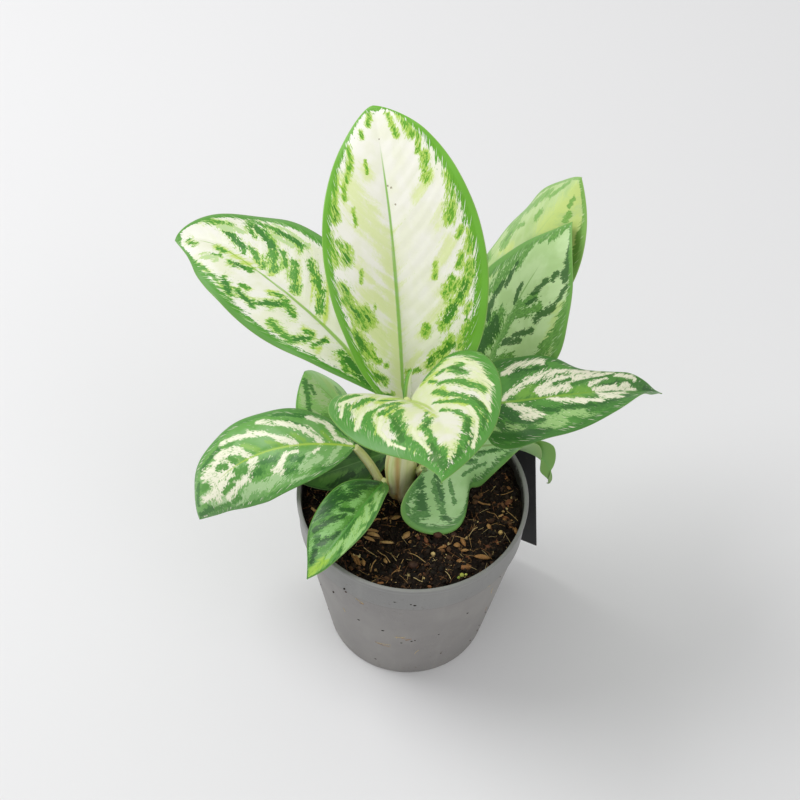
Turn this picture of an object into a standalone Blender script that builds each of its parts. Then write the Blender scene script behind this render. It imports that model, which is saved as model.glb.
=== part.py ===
"""Potted Chinese evergreen: a nursery pot of soil with three leafy shoots and a plain label.

Metres, +Z up. The origin is the centre of the pot's underside, and the photograph looks along +Y.
Angles are degrees: heading 0 points along +X and 90 along +Y, and rise is the angle above level.
"""
import math

import bmesh
import bpy
import numpy as np
from mathutils import Matrix, Vector

MM = 0.001
GAP = 0.3 * MM                  # air kept between pieces that touch on the real plant

POT_HEIGHT = 110 * MM
LIP_RADIUS = 60 * MM            # outside of the lip
BASE_RADIUS = 43 * MM           # outside of the standing ring
WALL = 1.6 * MM
BAND_HEIGHT = 19.5 * MM         # upright band under the lip
BAND_STEP = 0.9 * MM            # step in the outline below the band
FLOOR_LIFT = 2.4 * MM           # underside of the floor, between ring and middle pad
RING_WIDTH = 4 * MM
PAD_RADIUS = 12 * MM
DRAIN_COUNT = 8
DRAIN_RADIUS = 4 * MM
DRAIN_CIRCLE = 27 * MM
POT_SEGMENTS = 40

SOIL_BELOW_LIP = 8 * MM
SOIL_BUMPS = 1.2 * MM
SOIL_RINGS = 7
STEM_DEPTH = 14 * MM            # how far a stem stands in the soil

BLADE_THICKNESS = 0.7 * MM
RIB_THICKNESS = 2.4 * MM        # midrib at the leaf stalk
RIB_WIDTH = 1.5 * MM
TIP_HALF_WIDTH = 0.4 * MM
BASE_HALF_WIDTH = 1.5 * MM
BLADE_COLUMNS = (-1.0, -0.72, -0.4, -0.12, 0.0, 0.12, 0.4, 0.72, 1.0)
STALK_RADIUS = 1.9 * MM         # at the blade

LABEL_WIDTH = 62 * MM
LABEL_HEIGHT = 92 * MM
LABEL_THICKNESS = 0.8 * MM
LABEL_SHIFT = 13 * MM           # the tongue is off the card's middle
LABEL_FACING = 63.5             # heading of the label's outer face
LABEL_TILT = -6.0               # it hangs a little askew
TONGUE_WIDTH = 16 * MM
TONGUE_DEPTH = 24 * MM          # how far the tongue reaches down inside the pot
TONGUE_LEAN = 2.4 * MM          # it leans inward with the wall

# One entry a leaf. base is where the blade starts, in millimetres; sizes are millimetres and angles
# degrees. droop and sweep are how far the midrib turns down and round by the tip, the bend powers say
# how late; roll turns the blade about its midrib; fold lifts both halves; camber curls them down.
LEAVES = {
    "leaf_crown": dict(base=(-6, 17, 164), heading=105, rise=76, length=152, width=81, droop=45,
                       roll=-8, twist=31, fold=44, fold_tip=2, camber=8, widest=0.47, point=0.67,
                       skew=0.12, rows=16),
    "leaf_left_upper": dict(base=(-19, 11, 176), heading=137, rise=48, length=142, width=65,
                            droop=58, droop_bend=0.5, sweep=57, sweep_bend=6, roll=6, twist=-5,
                            fold=12, fold_tip=11, camber=26, widest=0.58, point=0.74, skew=0.05,
                            wave=2, wave_phase=-0.55, rows=16),
    "leaf_front": dict(base=(-4, -2, 189), heading=-63, rise=47, length=99, width=83, droop=45,
                       droop_bend=1.5, sweep=-42, sweep_bend=1.9, roll=-4, twist=-15, fold=44,
                       fold_tip=-19, camber=26, widest=0.23, point=1.16, skew=0.09, wave=-0.7,
                       lobe=7, rows=18),
    "leaf_back": dict(base=(8.2, 62.5, 134.8), heading=44, rise=54, length=135, width=64.5, droop=-5,
                      sweep=-23, sweep_bend=0.4, roll=2, fold=2, fold_tip=-6, camber=33,
                      widest=0.62, point=0.93, skew=0.03, wave=-0.9, wave_phase=0.4, rows=12),
    "leaf_right": dict(base=(31.8, 4.2, 182), heading=4, rise=7, length=108.5, width=49, droop=51,
                       droop_bend=1.2, sweep=33, sweep_bend=0.8, roll=-14, twist=24, fold=6,
                       fold_tip=31, camber=14, widest=0.14, point=1.1, skew=0.05, wave=-3,
                       wave_phase=1, rows=16),
    "leaf_back_right": dict(base=(31.3, 39.4, 156.5), heading=55, rise=64, length=96, width=63.5, droop=22,
                            sweep=-17, sweep_bend=1.2, roll=3, twist=12, fold=8, fold_tip=1,
                            camber=29, widest=0.4, point=0.99, skew=0.04, wave=0.7,
                            wave_phase=-0.2, rows=12),
    "leaf_low_right": dict(base=(5.3, -0.5, 133), heading=47, rise=-15, length=99, width=63,
                           droop=121, droop_bend=5.9, sweep=-100, sweep_bend=1.7, roll=-75,
                           twist=117, fold=4, fold_tip=24, camber=22, widest=0.17, point=4.2,
                           skew=0.2, wave=10.3, wave_phase=4.84, lobe=28, notch=0.3,
                           slim_left=0.8, rows=22),
    "leaf_left_lower": dict(base=(-31, 14.5, 128.5), heading=180, rise=6, length=110, width=49,
                            droop=90, droop_bend=1.4, sweep=38, sweep_bend=1.5, roll=12, twist=11,
                            fold=15, fold_tip=-4, camber=38, widest=0.46, point=0.8, wave=-1,
                            wave_phase=0.7, rows=14),
    "leaf_left_back": dict(base=(-31, 42, 111), heading=154, rise=42, length=41, width=45, droop=8,
                           sweep=2, roll=-12, twist=-5, fold=4, fold_tip=-14, camber=27,
                           widest=0.56, point=0.82, skew=-0.12, rows=8),
    "leaf_low_left": dict(base=(-11, 29, 107.5), heading=209, rise=6, length=55, width=32, droop=1,
                          sweep=4, fold=5, fold_tip=4, camber=7, widest=0.52, point=0.83, skew=0.1,
                          wave=-0.7, rows=8),
    "leaf_front_left": dict(base=(-15.4, 6, 110), heading=-111, rise=32, length=74, width=35,
                            droop=70, sweep=-25, sweep_bend=1.5, roll=-10, twist=-14, fold=37,
                            fold_tip=14, camber=4, widest=0.5, point=0.95, skew=0.08, wave=-0.8,
                            wave_phase=0.24, rows=12),
}
WAVES_ALONG_EDGE = 2
RIGHT_WAVE_LAG = 1.3

# One entry a shoot: the stem's path (x, y, z, radius in millimetres) and the leaves it carries. A stalk
# leaves the stem at the height given, passes the points given on its way, and runs the last stretch,
# its lead, in line with the blade. With no lead it ends at its last point, behind the blade.
SHOOTS = {
    "shoot_main": dict(
        stem=((-7, 6.5, 88, 4.3), (-7, 6.5, 104, 4.5), (-7, 7, 118, 6.2), (-6.5, 7.5, 132, 6.8),
              (-6, 8, 150, 6.4), (-6, 8, 164, 4.2)),
        stalks=dict(leaf_crown=(148, (), 5), leaf_left_upper=(148, (), 5),
                    leaf_front=(148, ((-5.8, 3.5, 173),), 4),
                    leaf_right=(146, ((4, 7, 169), (18, 4.5, 178)), 4),
                    leaf_back=(130, ((-3, 24, 135), (3, 44, 133)), 4),
                    leaf_left_back=(122, ((-13, 21, 128), (-24, 36.5, 112.5)), 1.5))),
    "shoot_right": dict(
        stem=((9, 20, 88, 3.4), (9, 20, 104, 3.6), (10, 20.5, 116, 4.2), (12, 22, 127, 3)),
        stalks=dict(leaf_back_right=(118, ((22, 33, 137),), 4),
                    leaf_low_left=(108, ((1, 27, 111),), 3),
                    leaf_low_right=(106, ((6, 13, 113), (4.6, 8, 119), (2.6, 4.2, 126), (1.5, 3, 131)), 0))),
    "shoot_left": dict(
        stem=((-16.5, 10.5, 88, 2.7), (-16.5, 10.5, 101, 2.7), (-16.5, 10.5, 105, 2.6),
              (-16.8, 10, 108, 2.1)),
        stalks=dict(leaf_left_lower=(105, ((-17.5, 9, 110.5), (-21.5, 8.5, 116)), 4),
                    leaf_front_left=(104, (), 2))),
}


def material(name, colour, roughness, metallic=0.0):
    made = bpy.data.materials.new(name)
    made.use_nodes = True
    shader = made.node_tree.nodes["Principled BSDF"]
    shader.inputs["Base Color"].default_value = (*colour, 1.0)
    shader.inputs["Roughness"].default_value = roughness
    shader.inputs["Metallic"].default_value = metallic
    made.diffuse_color = (*colour, 1.0)
    return made


def new_object(name, mesh, collection, surface=None):
    made = bpy.data.objects.new(name, mesh)
    collection.objects.link(made)
    if surface:
        mesh.materials.append(surface)
    return made


def closed_mesh(name, points, triangles):
    mesh = bpy.data.meshes.new(name)
    mesh.from_pydata([tuple(p) for p in points], [], triangles)
    mesh.update()
    return mesh


def outward(mesh):
    sheet = bmesh.new()
    sheet.from_mesh(mesh)
    bmesh.ops.remove_doubles(sheet, verts=sheet.verts, dist=0.005 * MM)
    bmesh.ops.recalc_face_normals(sheet, faces=sheet.faces)
    sheet.to_mesh(mesh)
    sheet.free()
    return mesh


def evaluated_mesh(thing):
    graph = bpy.context.evaluated_depsgraph_get()
    return bpy.data.meshes.new_from_object(thing.evaluated_get(graph))


def apply_modifiers(thing):
    mesh = evaluated_mesh(thing)
    thing.modifiers.clear()
    thing.data = mesh


def boolean(thing, operation, cutters):
    cut = thing.modifiers.new(operation.lower(), "BOOLEAN")
    cut.operation = operation
    cut.solver = "EXACT"
    if isinstance(cutters, bpy.types.Collection):
        cut.operand_type = "COLLECTION"
        cut.collection = cutters
    else:
        cut.object = cutters
    return cut


def tube(name, path, collection, smooth_steps=4):
    """A capped tube along (x, y, z, radius) points given in millimetres."""
    curve = bpy.data.curves.new(name, "CURVE")
    curve.dimensions = "3D"
    curve.bevel_depth = MM
    curve.bevel_resolution = 2
    curve.resolution_u = smooth_steps
    curve.use_fill_caps = True
    spline = curve.splines.new("BEZIER")
    spline.bezier_points.add(len(path) - 1)
    for knot, (x, y, z, radius) in zip(spline.bezier_points, path):
        knot.co = (x * MM, y * MM, z * MM)
        knot.radius = radius
        knot.handle_left_type = "AUTO"
        knot.handle_right_type = "AUTO"
    guide = new_object(name + "_guide", curve, collection)
    bpy.context.view_layer.update()
    mesh = outward(evaluated_mesh(guide))
    bpy.data.objects.remove(guide)
    return new_object(name, mesh, collection)


def midrib(leaf, steps):
    """Points and directions of a leaf's midrib at even steps from blade base to tip."""
    u = np.linspace(0.0, 1.0, steps + 1)
    rise = np.radians(leaf["rise"] - leaf["droop"] * u ** leaf.get("droop_bend", 1.0))
    heading = np.radians(leaf["heading"] + leaf.get("sweep", 0) * u ** leaf.get("sweep_bend", 1.0))
    along = np.stack([np.cos(rise) * np.cos(heading), np.cos(rise) * np.sin(heading), np.sin(rise)], 1)
    side = np.stack([np.sin(heading), -np.cos(heading), 0 * heading], 1)
    run = np.cumsum((along[1:] + along[:-1]) / 2, 0) * leaf["length"] * MM / steps
    points = np.vstack([np.zeros(3), run]) + np.array(leaf["base"]) * MM
    return u, points, along, side


def half_width(leaf, u):
    """Half the blade's width: blunt at the base, widest part-way, drawn to a point at the tip."""
    widest = leaf["widest"]
    point = leaf["point"]
    blunt = point * widest / (1 - widest)
    shape = (u / widest) ** blunt * ((1 - u) / (1 - widest)) ** point
    floor = BASE_HALF_WIDTH + (TIP_HALF_WIDTH - BASE_HALF_WIDTH) * u
    return np.maximum(shape * leaf["width"] * MM / 2, floor)


def blade_surface(leaf, rows, columns):
    """Upper face of a blade as a grid of points, and the way its faces look."""
    fine = 4 * rows
    u, rib, along, side = midrib(leaf, fine)
    keep = np.arange(0, fine + 1, 4)
    first = np.array([0, 1])                       # one short row more, where the blade starts
    keep = np.unique(np.concatenate([first, keep]))
    u, rib, along, side = u[keep], rib[keep], along[keep], side[keep]
    up = np.cross(side, along)
    roll = np.radians(leaf.get("roll", 0) + leaf.get("twist", 0) * u)[:, None]
    across = np.cos(roll) * side + np.sin(roll) * up
    face = -np.sin(roll) * side + np.cos(roll) * up
    wide = half_width(leaf, u)
    fold = np.radians(leaf["fold"] + (leaf["fold_tip"] - leaf["fold"]) * u)
    camber = math.radians(leaf["camber"])
    calm_ends = np.minimum(1, 4 * u) * np.minimum(1, 4 * (1 - u))
    grid = []
    for column in columns:
        hand = math.copysign(1, column) if column else 0
        out = abs(column)
        reach = wide * out * (1 + hand * leaf.get("skew", 0))
        if hand > 0:
            reach = reach * (1 - leaf.get("notch", 0) * np.exp(-((u - 0.31) / 0.07) ** 2))
        else:
            reach = reach * (1 - leaf.get("slim_left", 0) * np.maximum(0, 1 - u / 0.45))
        angle = fold - camber * out / 2
        phase = leaf.get("wave_phase", 0) + (RIGHT_WAVE_LAG if hand > 0 else 0)
        ripple = leaf.get("wave", 0) * MM * out ** 2 * calm_ends
        ripple = ripple * np.sin(2 * math.pi * WAVES_ALONG_EDGE * u + phase)
        back = leaf.get("lobe", 0) * MM * out ** 1.5 * np.maximum(0, 1 - u / 0.4) ** 2
        back = back * np.minimum(1, u / 0.06)
        grid.append(rib - along * back[:, None] + across * (hand * reach * np.cos(angle))[:, None]
                    + face * (reach * np.sin(angle) + ripple)[:, None])
    grid = np.stack(grid, 1)
    normals = np.cross(np.gradient(grid, axis=1), np.gradient(grid, axis=0))
    normals /= np.linalg.norm(normals, axis=2, keepdims=True)
    return u, grid, normals


def blade(name, leaf, collection, surface):
    """A closed blade: upper face, lower face with the midrib standing out, both split alike."""
    columns = np.array(BLADE_COLUMNS)
    u, top, normals = blade_surface(leaf, leaf["rows"], columns)
    rib = RIB_THICKNESS * (1 - u) ** 1.2
    near_rib = np.exp(-(np.abs(columns)[None, :] * half_width(leaf, u)[:, None] / RIB_WIDTH) ** 2)
    thick = BLADE_THICKNESS + rib[:, None] * near_rib
    low = top - normals * thick[:, :, None]
    rows, count = top.shape[:2]
    points = np.concatenate([top.reshape(-1, 3), low.reshape(-1, 3)])
    under = rows * count
    triangles = []
    for i in range(rows - 1):
        for j in range(count - 1):
            a, b = i * count + j, i * count + j + 1
            c, d = a + count, b + count
            if columns[j] < 0:
                pair = ((a, b, c), (b, d, c))
            else:
                pair = ((a, b, d), (a, d, c))
            for p, q, r in pair:
                triangles.append((p, q, r))
                triangles.append((under + r, under + q, under + p))
    edge = [i * count for i in range(rows)]
    edge += [(rows - 1) * count + j for j in range(1, count)]
    edge += [i * count + count - 1 for i in range(rows - 2, -1, -1)]
    edge += [j for j in range(count - 2, 0, -1)]
    for k, p in enumerate(edge):
        q = edge[(k + 1) % len(edge)]
        triangles.append((p, q, under + q))
        triangles.append((p, under + q, under + p))
    mesh = outward(closed_mesh(name, points, triangles))
    mesh.shade_smooth()
    return new_object(name, mesh, collection, surface)


def stem_point(stem, height):
    """The stem's centre and radius at a height, in millimetres."""
    table = np.array(stem, float)
    return [float(np.interp(height, table[:, 2], table[:, k])) for k in (0, 1, 3)]


def stalk_path(stem, leaf, start_height, by_way, lead):
    """A leaf stalk: broad where it sheathes the stem, slim at its blade, arriving in line with it."""
    x, y, radius = stem_point(stem, start_height)
    _, rib, along, _ = midrib(leaf, 40)
    end = (rib[0] - along[0] * GAP) / MM
    before = end - along[0] * lead
    slim = STALK_RADIUS / MM
    path = [(x, y, start_height, radius * 0.8)]
    path += [(*point, slim + 0.5) for point in by_way]
    if lead:
        path.append((*before, slim + 0.15))
        path.append((*end, slim))
    else:
        path[-1] = (*by_way[-1], slim)
    return path


def shoot(name, plan, collection, surface):
    """A stem and the stalks of its leaves, joined in one body."""
    stem = tube(name, plan["stem"], collection)
    stalks = bpy.data.collections.new(name + "_stalks")
    for leaf_name, route in plan["stalks"].items():
        tube(leaf_name + "_stalk", stalk_path(plan["stem"], LEAVES[leaf_name], *route), stalks)
    boolean(stem, "UNION", stalks)
    bpy.context.scene.collection.children.link(stalks)
    bpy.context.view_layer.update()
    apply_modifiers(stem)
    for stalk in list(stalks.objects):
        bpy.data.objects.remove(stalk)
    bpy.data.collections.remove(stalks)
    stem.data.materials.clear()
    stem.data.materials.append(surface)
    return stem


def new_leaf(collection, surface):
    """The youngest leaf, still rolled, standing in the crown."""
    path = ((-2.6, 6.1, 180, 1.2), (-2.4, 6.7, 186, 1.7), (-2.2, 7.5, 192, 1.2), (-2.2, 8.3, 198, 0.45))
    rolled = tube("new_leaf", path, collection, smooth_steps=4)
    rolled.data.materials.append(surface)
    return rolled


def turned(name, profile, collection, surface):
    """A profile of (radius, height) turned about the pot's axis."""
    mesh = bpy.data.meshes.new(name)
    count = len(profile)
    mesh.from_pydata([(r, 0, z) for r, z in profile], [(i, i + 1) for i in range(count - 1)], [])
    thing = new_object(name, mesh, collection, surface)
    screw = thing.modifiers.new("turn", "SCREW")
    screw.steps = POT_SEGMENTS
    screw.render_steps = POT_SEGMENTS
    screw.use_merge_vertices = True
    screw.merge_threshold = 0.01 * MM
    return thing


def wall_radius(height):
    """Outside radius of the tapered wall below the band."""
    step_height = POT_HEIGHT - BAND_HEIGHT
    top = LIP_RADIUS - 1.3 * MM - BAND_STEP
    return BASE_RADIUS + (top - BASE_RADIUS) * height / step_height


def pot(collection, cutters, surface):
    step_height = POT_HEIGHT - BAND_HEIGHT
    band_foot = LIP_RADIUS - 1.3 * MM
    floor_top = FLOOR_LIFT + WALL
    inner_foot = wall_radius(floor_top) - WALL
    profile = (
        (0, floor_top), (inner_foot, floor_top),
        (wall_radius(step_height) - WALL, step_height),
        (LIP_RADIUS - 2.2 * MM, POT_HEIGHT - 0.5 * MM), (LIP_RADIUS - 1.7 * MM, POT_HEIGHT),
        (LIP_RADIUS - 0.4 * MM, POT_HEIGHT), (LIP_RADIUS, POT_HEIGHT - 0.5 * MM),
        (LIP_RADIUS - 0.2 * MM, POT_HEIGHT - 2.6 * MM), (LIP_RADIUS - 0.6 * MM, POT_HEIGHT - 3.2 * MM),
        (band_foot, step_height + 0.4 * MM), (wall_radius(step_height), step_height),
        (BASE_RADIUS + 0.3 * MM, 1.2 * MM), (BASE_RADIUS - 0.6 * MM, 0),
        (BASE_RADIUS - RING_WIDTH, 0), (BASE_RADIUS - RING_WIDTH - 1 * MM, FLOOR_LIFT),
        (PAD_RADIUS + 1 * MM, FLOOR_LIFT), (PAD_RADIUS, 0), (0, 0))
    body = turned("pot", profile, collection, surface)
    for i in range(DRAIN_COUNT):
        turn = 2 * math.pi * (i + 0.5) / DRAIN_COUNT
        sheet = bmesh.new()
        bmesh.ops.create_cone(sheet, cap_ends=True, segments=16, radius1=DRAIN_RADIUS,
                              radius2=DRAIN_RADIUS, depth=12 * MM)
        mesh = bpy.data.meshes.new("drain")
        sheet.to_mesh(mesh)
        sheet.free()
        hole = new_object("drain_cutter", mesh, cutters)
        hole.location = (DRAIN_CIRCLE * math.cos(turn), DRAIN_CIRCLE * math.sin(turn), FLOOR_LIFT)
    return body


def bumps(x, y):
    """Uneven top of the soil, as a height above or below its level."""
    a = math.sin(410 * x + 1.3) * math.cos(370 * y - 0.4)
    b = math.sin(790 * x - 620 * y + 2.1)
    c = math.cos(930 * y + 540 * x - 1.7) * math.sin(260 * x - 0.9)
    return SOIL_BUMPS * (0.5 * a + 0.3 * b + 0.3 * c)


def soil(collection, cutters, surface):
    """Fills the pot from its floor to below the lip, with a plain hole for each stem."""
    foot = FLOOR_LIFT + WALL + GAP
    step_height = POT_HEIGHT - BAND_HEIGHT
    top = POT_HEIGHT - SOIL_BELOW_LIP
    side = ((wall_radius(foot) - WALL - GAP * 1.5, foot),
            (wall_radius(step_height) - WALL - GAP * 1.5, step_height),
            (LIP_RADIUS - 2.2 * MM - 1.0 * MM, top - 1.0 * MM))
    points = [(0, 0, foot)]
    rings = [(r, z, 0) for r, z in side]
    rings += [(side[-1][0] * (1 - k / SOIL_RINGS), top, 1) for k in range(1, SOIL_RINGS)]
    for radius, height, uneven in rings:
        for k in range(POT_SEGMENTS):
            turn = 2 * math.pi * k / POT_SEGMENTS
            x, y = radius * math.cos(turn), radius * math.sin(turn)
            points.append((x, y, height + uneven * bumps(x, y)))
    points.append((0, 0, top + bumps(0, 0)))
    faces = []
    last = len(points) - 1
    for k in range(POT_SEGMENTS):
        nxt = (k + 1) % POT_SEGMENTS
        faces.append((0, 1 + nxt, 1 + k))
        for ring in range(len(rings) - 1):
            a = 1 + ring * POT_SEGMENTS
            b = a + POT_SEGMENTS
            faces.append((a + k, a + nxt, b + nxt))
            faces.append((a + k, b + nxt, b + k))
        b = 1 + (len(rings) - 1) * POT_SEGMENTS
        faces.append((b + k, b + nxt, last))
    block = new_object("soil", outward(closed_mesh("soil", points, faces)), collection, surface)
    for name, plan in SHOOTS.items():
        x, y, z, radius = plan["stem"][0]
        deep = top / MM - z + STEM_DEPTH / MM
        sheet = bmesh.new()
        bmesh.ops.create_cone(sheet, cap_ends=True, segments=16, radius1=(radius + 0.9) * MM,
                              radius2=(radius + 0.9) * MM, depth=deep * MM,
                              matrix=Matrix.Translation((x * MM, y * MM, (z - 0.5 + deep / 2) * MM)))
        mesh = bpy.data.meshes.new(name + "_hole")
        sheet.to_mesh(mesh)
        sheet.free()
        new_object(name + "_hole", mesh, cutters)
    return block


def label_frame():
    """The label's place on the pot: origin beside the lip, X along the label, Y out of the pot."""
    facing = math.radians(LABEL_FACING)
    outside = Vector((math.cos(facing), math.sin(facing), 0))
    along = Vector((math.sin(facing), -math.cos(facing), 0))
    place = outside * (LIP_RADIUS + GAP)
    matrix = Matrix((along, outside, (0, 0, 1))).transposed().to_4x4()
    matrix.translation = place
    return matrix


def label(collection, cutters, surface):
    """A plain card that hangs outside the pot on a tongue bent over the lip and into the soil."""
    half = LABEL_THICKNESS / 2
    over = POT_HEIGHT + GAP + half
    inside = 2.2 * MM + 2 * GAP + LABEL_THICKNESS
    path = ((half, POT_HEIGHT - 14 * MM), (half, over - 0.5 * MM), (-half, over),
            (half - inside, over), (-half - inside, over - 0.5 * MM),
            (-half - inside - TONGUE_LEAN, POT_HEIGHT - TONGUE_DEPTH))
    sheet = bmesh.new()
    rows = []
    for y, z in path:
        rows.append([sheet.verts.new((x, y, z)) for x in (-TONGUE_WIDTH / 2, TONGUE_WIDTH / 2)])
    for low, high in zip(rows, rows[1:]):
        sheet.faces.new((low[0], low[1], high[1], high[0]))
    mesh = bpy.data.meshes.new("tongue")
    sheet.to_mesh(mesh)
    sheet.free()
    tongue = new_object("tongue", mesh, cutters)
    thick = tongue.modifiers.new("thickness", "SOLIDIFY")
    thick.thickness = LABEL_THICKNESS
    thick.offset = 0
    sheet = bmesh.new()
    bmesh.ops.create_cube(sheet, size=1)
    centre = Matrix.Translation((LABEL_SHIFT, half + 0.1 * MM, POT_HEIGHT - 4 * MM - LABEL_HEIGHT / 2))
    size = Matrix.Diagonal((LABEL_WIDTH, LABEL_THICKNESS, LABEL_HEIGHT, 1))
    bmesh.ops.transform(sheet, matrix=centre @ Matrix.Rotation(math.radians(LABEL_TILT), 4, "Y") @ size,
                        verts=sheet.verts)
    mesh = bpy.data.meshes.new("label_panel")
    sheet.to_mesh(mesh)
    sheet.free()
    panel = new_object("label_panel", mesh, collection, surface)
    for thing in (tongue, panel):
        thing.matrix_world = label_frame()
    bpy.context.view_layer.update()
    boolean(panel, "UNION", tongue)
    apply_modifiers(panel)
    bpy.data.objects.remove(tongue)
    sheet = bmesh.new()
    bmesh.ops.create_cube(sheet, size=1)
    slot_top = 16 * MM
    deep = TONGUE_DEPTH + slot_top
    reach = inside + TONGUE_LEAN + LABEL_THICKNESS + GAP
    where = Matrix.Translation((0, -reach / 2, POT_HEIGHT + slot_top - GAP - deep / 2))
    size = Matrix.Diagonal((TONGUE_WIDTH + 2 * GAP, reach, deep, 1))
    bmesh.ops.transform(sheet, matrix=label_frame() @ where @ size, verts=sheet.verts)
    mesh = bpy.data.meshes.new("tongue_slot")
    sheet.to_mesh(mesh)
    sheet.free()
    new_object("tongue_slot", mesh, cutters)
    return panel


def hide_cutters(cutters):
    for cutter in cutters.objects:
        cutter.hide_render = True
        cutter.display_type = "WIRE"


def subtract(thing, cutters, names):
    group = bpy.data.collections.new(thing.name + "_cutters")
    cutters.children.link(group)
    for cutter in [c for c in cutters.objects if c.name.split(".")[0] in names]:
        group.objects.link(cutter)
        cutters.objects.unlink(cutter)
        cutter.hide_render = True
        cutter.display_type = "WIRE"
    boolean(thing, "DIFFERENCE", group)


def build():
    for thing in list(bpy.data.objects):
        bpy.data.objects.remove(thing)
    plant = bpy.data.collections.new("potted_chinese_evergreen")
    cutters = bpy.data.collections.new("cutters")
    for group in (plant, cutters):
        bpy.context.scene.collection.children.link(group)
    grey = material("pot_plastic", (0.235, 0.24, 0.235), 0.55)
    earth = material("soil_mix", (0.035, 0.024, 0.018), 0.95)
    pale = material("stem_flesh", (0.62, 0.64, 0.36), 0.45)
    cream = material("leaf_cream", (0.72, 0.76, 0.47), 0.4)
    green = material("leaf_green", (0.13, 0.3, 0.1), 0.4)
    black = material("label_card", (0.012, 0.012, 0.013), 0.5)
    body = pot(plant, cutters, grey)
    block = soil(plant, cutters, earth)
    for name, leaf in LEAVES.items():
        blade(name, leaf, plant, cream if name in ("leaf_crown", "leaf_left_upper") else green)
    for name, plan in SHOOTS.items():
        shoot(name, plan, plant, pale)
    new_leaf(plant, green)
    label(plant, cutters, black)
    subtract(body, cutters, ("drain_cutter",))
    subtract(block, cutters, [name + "_hole" for name in SHOOTS] + ["tongue_slot"])
    hide_cutters(cutters)


build()
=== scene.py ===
import math

import bmesh
import bpy
import numpy as np
from mathutils import Matrix, Vector


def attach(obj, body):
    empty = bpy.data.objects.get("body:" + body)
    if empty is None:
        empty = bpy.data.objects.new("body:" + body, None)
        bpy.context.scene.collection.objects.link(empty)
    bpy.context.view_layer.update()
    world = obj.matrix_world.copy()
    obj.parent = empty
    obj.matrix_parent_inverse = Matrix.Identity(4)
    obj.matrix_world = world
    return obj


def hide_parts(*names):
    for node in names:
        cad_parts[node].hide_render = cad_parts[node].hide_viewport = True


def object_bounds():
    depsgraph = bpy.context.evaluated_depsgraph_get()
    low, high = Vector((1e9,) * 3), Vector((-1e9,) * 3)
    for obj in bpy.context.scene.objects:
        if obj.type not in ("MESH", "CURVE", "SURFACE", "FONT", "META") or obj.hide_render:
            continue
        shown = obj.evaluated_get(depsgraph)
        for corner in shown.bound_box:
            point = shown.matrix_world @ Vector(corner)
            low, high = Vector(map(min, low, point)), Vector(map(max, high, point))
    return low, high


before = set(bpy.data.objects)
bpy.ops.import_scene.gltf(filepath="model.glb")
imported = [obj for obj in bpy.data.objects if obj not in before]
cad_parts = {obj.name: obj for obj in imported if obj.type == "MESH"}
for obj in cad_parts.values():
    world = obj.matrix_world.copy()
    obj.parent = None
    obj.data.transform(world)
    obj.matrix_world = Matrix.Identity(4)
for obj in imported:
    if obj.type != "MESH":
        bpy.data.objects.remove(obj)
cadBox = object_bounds()
mm = 0.001


def tone(code):  # "#rrggbb" as linear colour
    parts = [int(code[k:k + 2], 16) / 255 for k in (1, 3, 5)]
    return [p / 12.92 if p <= 0.04045 else ((p + 0.055) / 1.055) ** 2.4 for p in parts] + [1.0]


class Wire:  # an output socket that takes part in expressions
    def __init__(self, net, socket):
        self.net = net
        self.socket = socket

    def maths(self, operation, *items):
        return self.net.add("ShaderNodeMath", {"operation": operation}, dict(enumerate(items)))

    def __add__(self, other):
        return self.maths("ADD", self, other)

    def __radd__(self, other):
        return self.maths("ADD", other, self)

    def __sub__(self, other):
        return self.maths("SUBTRACT", self, other)

    def __rsub__(self, other):
        return self.maths("SUBTRACT", other, self)

    def __mul__(self, other):
        return self.maths("MULTIPLY", self, other)

    def __rmul__(self, other):
        return self.maths("MULTIPLY", other, self)

    def __truediv__(self, other):
        return self.maths("DIVIDE", self, other)

    def __pow__(self, other):
        return self.maths("POWER", self, other)

    def most(self, other):
        return self.maths("MAXIMUM", self, other)

    def least(self, other):
        return self.maths("MINIMUM", self, other)

    def step(self, low, high):  # 0 below low, 1 above high, smooth between
        values = {"Value": self, "From Min": low, "From Max": high}
        return self.net.add("ShaderNodeMapRange", {"interpolation_type": "SMOOTHSTEP"}, values)


class Net:  # a node tree that is built node by node
    def __init__(self, tree):
        self.tree = tree

    def feed(self, socket, item):
        if isinstance(item, Wire):
            self.tree.links.new(item.socket, socket)
        else:
            socket.default_value = item

    def add(self, kind, settings=None, values=None, out=0):
        node = self.tree.nodes.new(kind)
        for key, setting in (settings or {}).items():
            if key == "stops":
                self.setStops(node.color_ramp, setting)
            else:
                setattr(node, key, setting)
        for key, item in (values or {}).items():
            self.feed(node.inputs[key], item)
        return Wire(self, node.outputs[out])

    def setStops(self, ramp, stops):
        while len(ramp.elements) < len(stops):
            ramp.elements.new(0.5)
        for element, (place, colour) in zip(ramp.elements, stops):
            element.position = place
            element.color = tone(colour)

    def split(self, vector, axis):
        return self.add("ShaderNodeSeparateXYZ", {}, {0: vector}, out=axis)

    def join(self, x, y, z):
        return self.add("ShaderNodeCombineXYZ", {}, {0: x, 1: y, 2: z})


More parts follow.
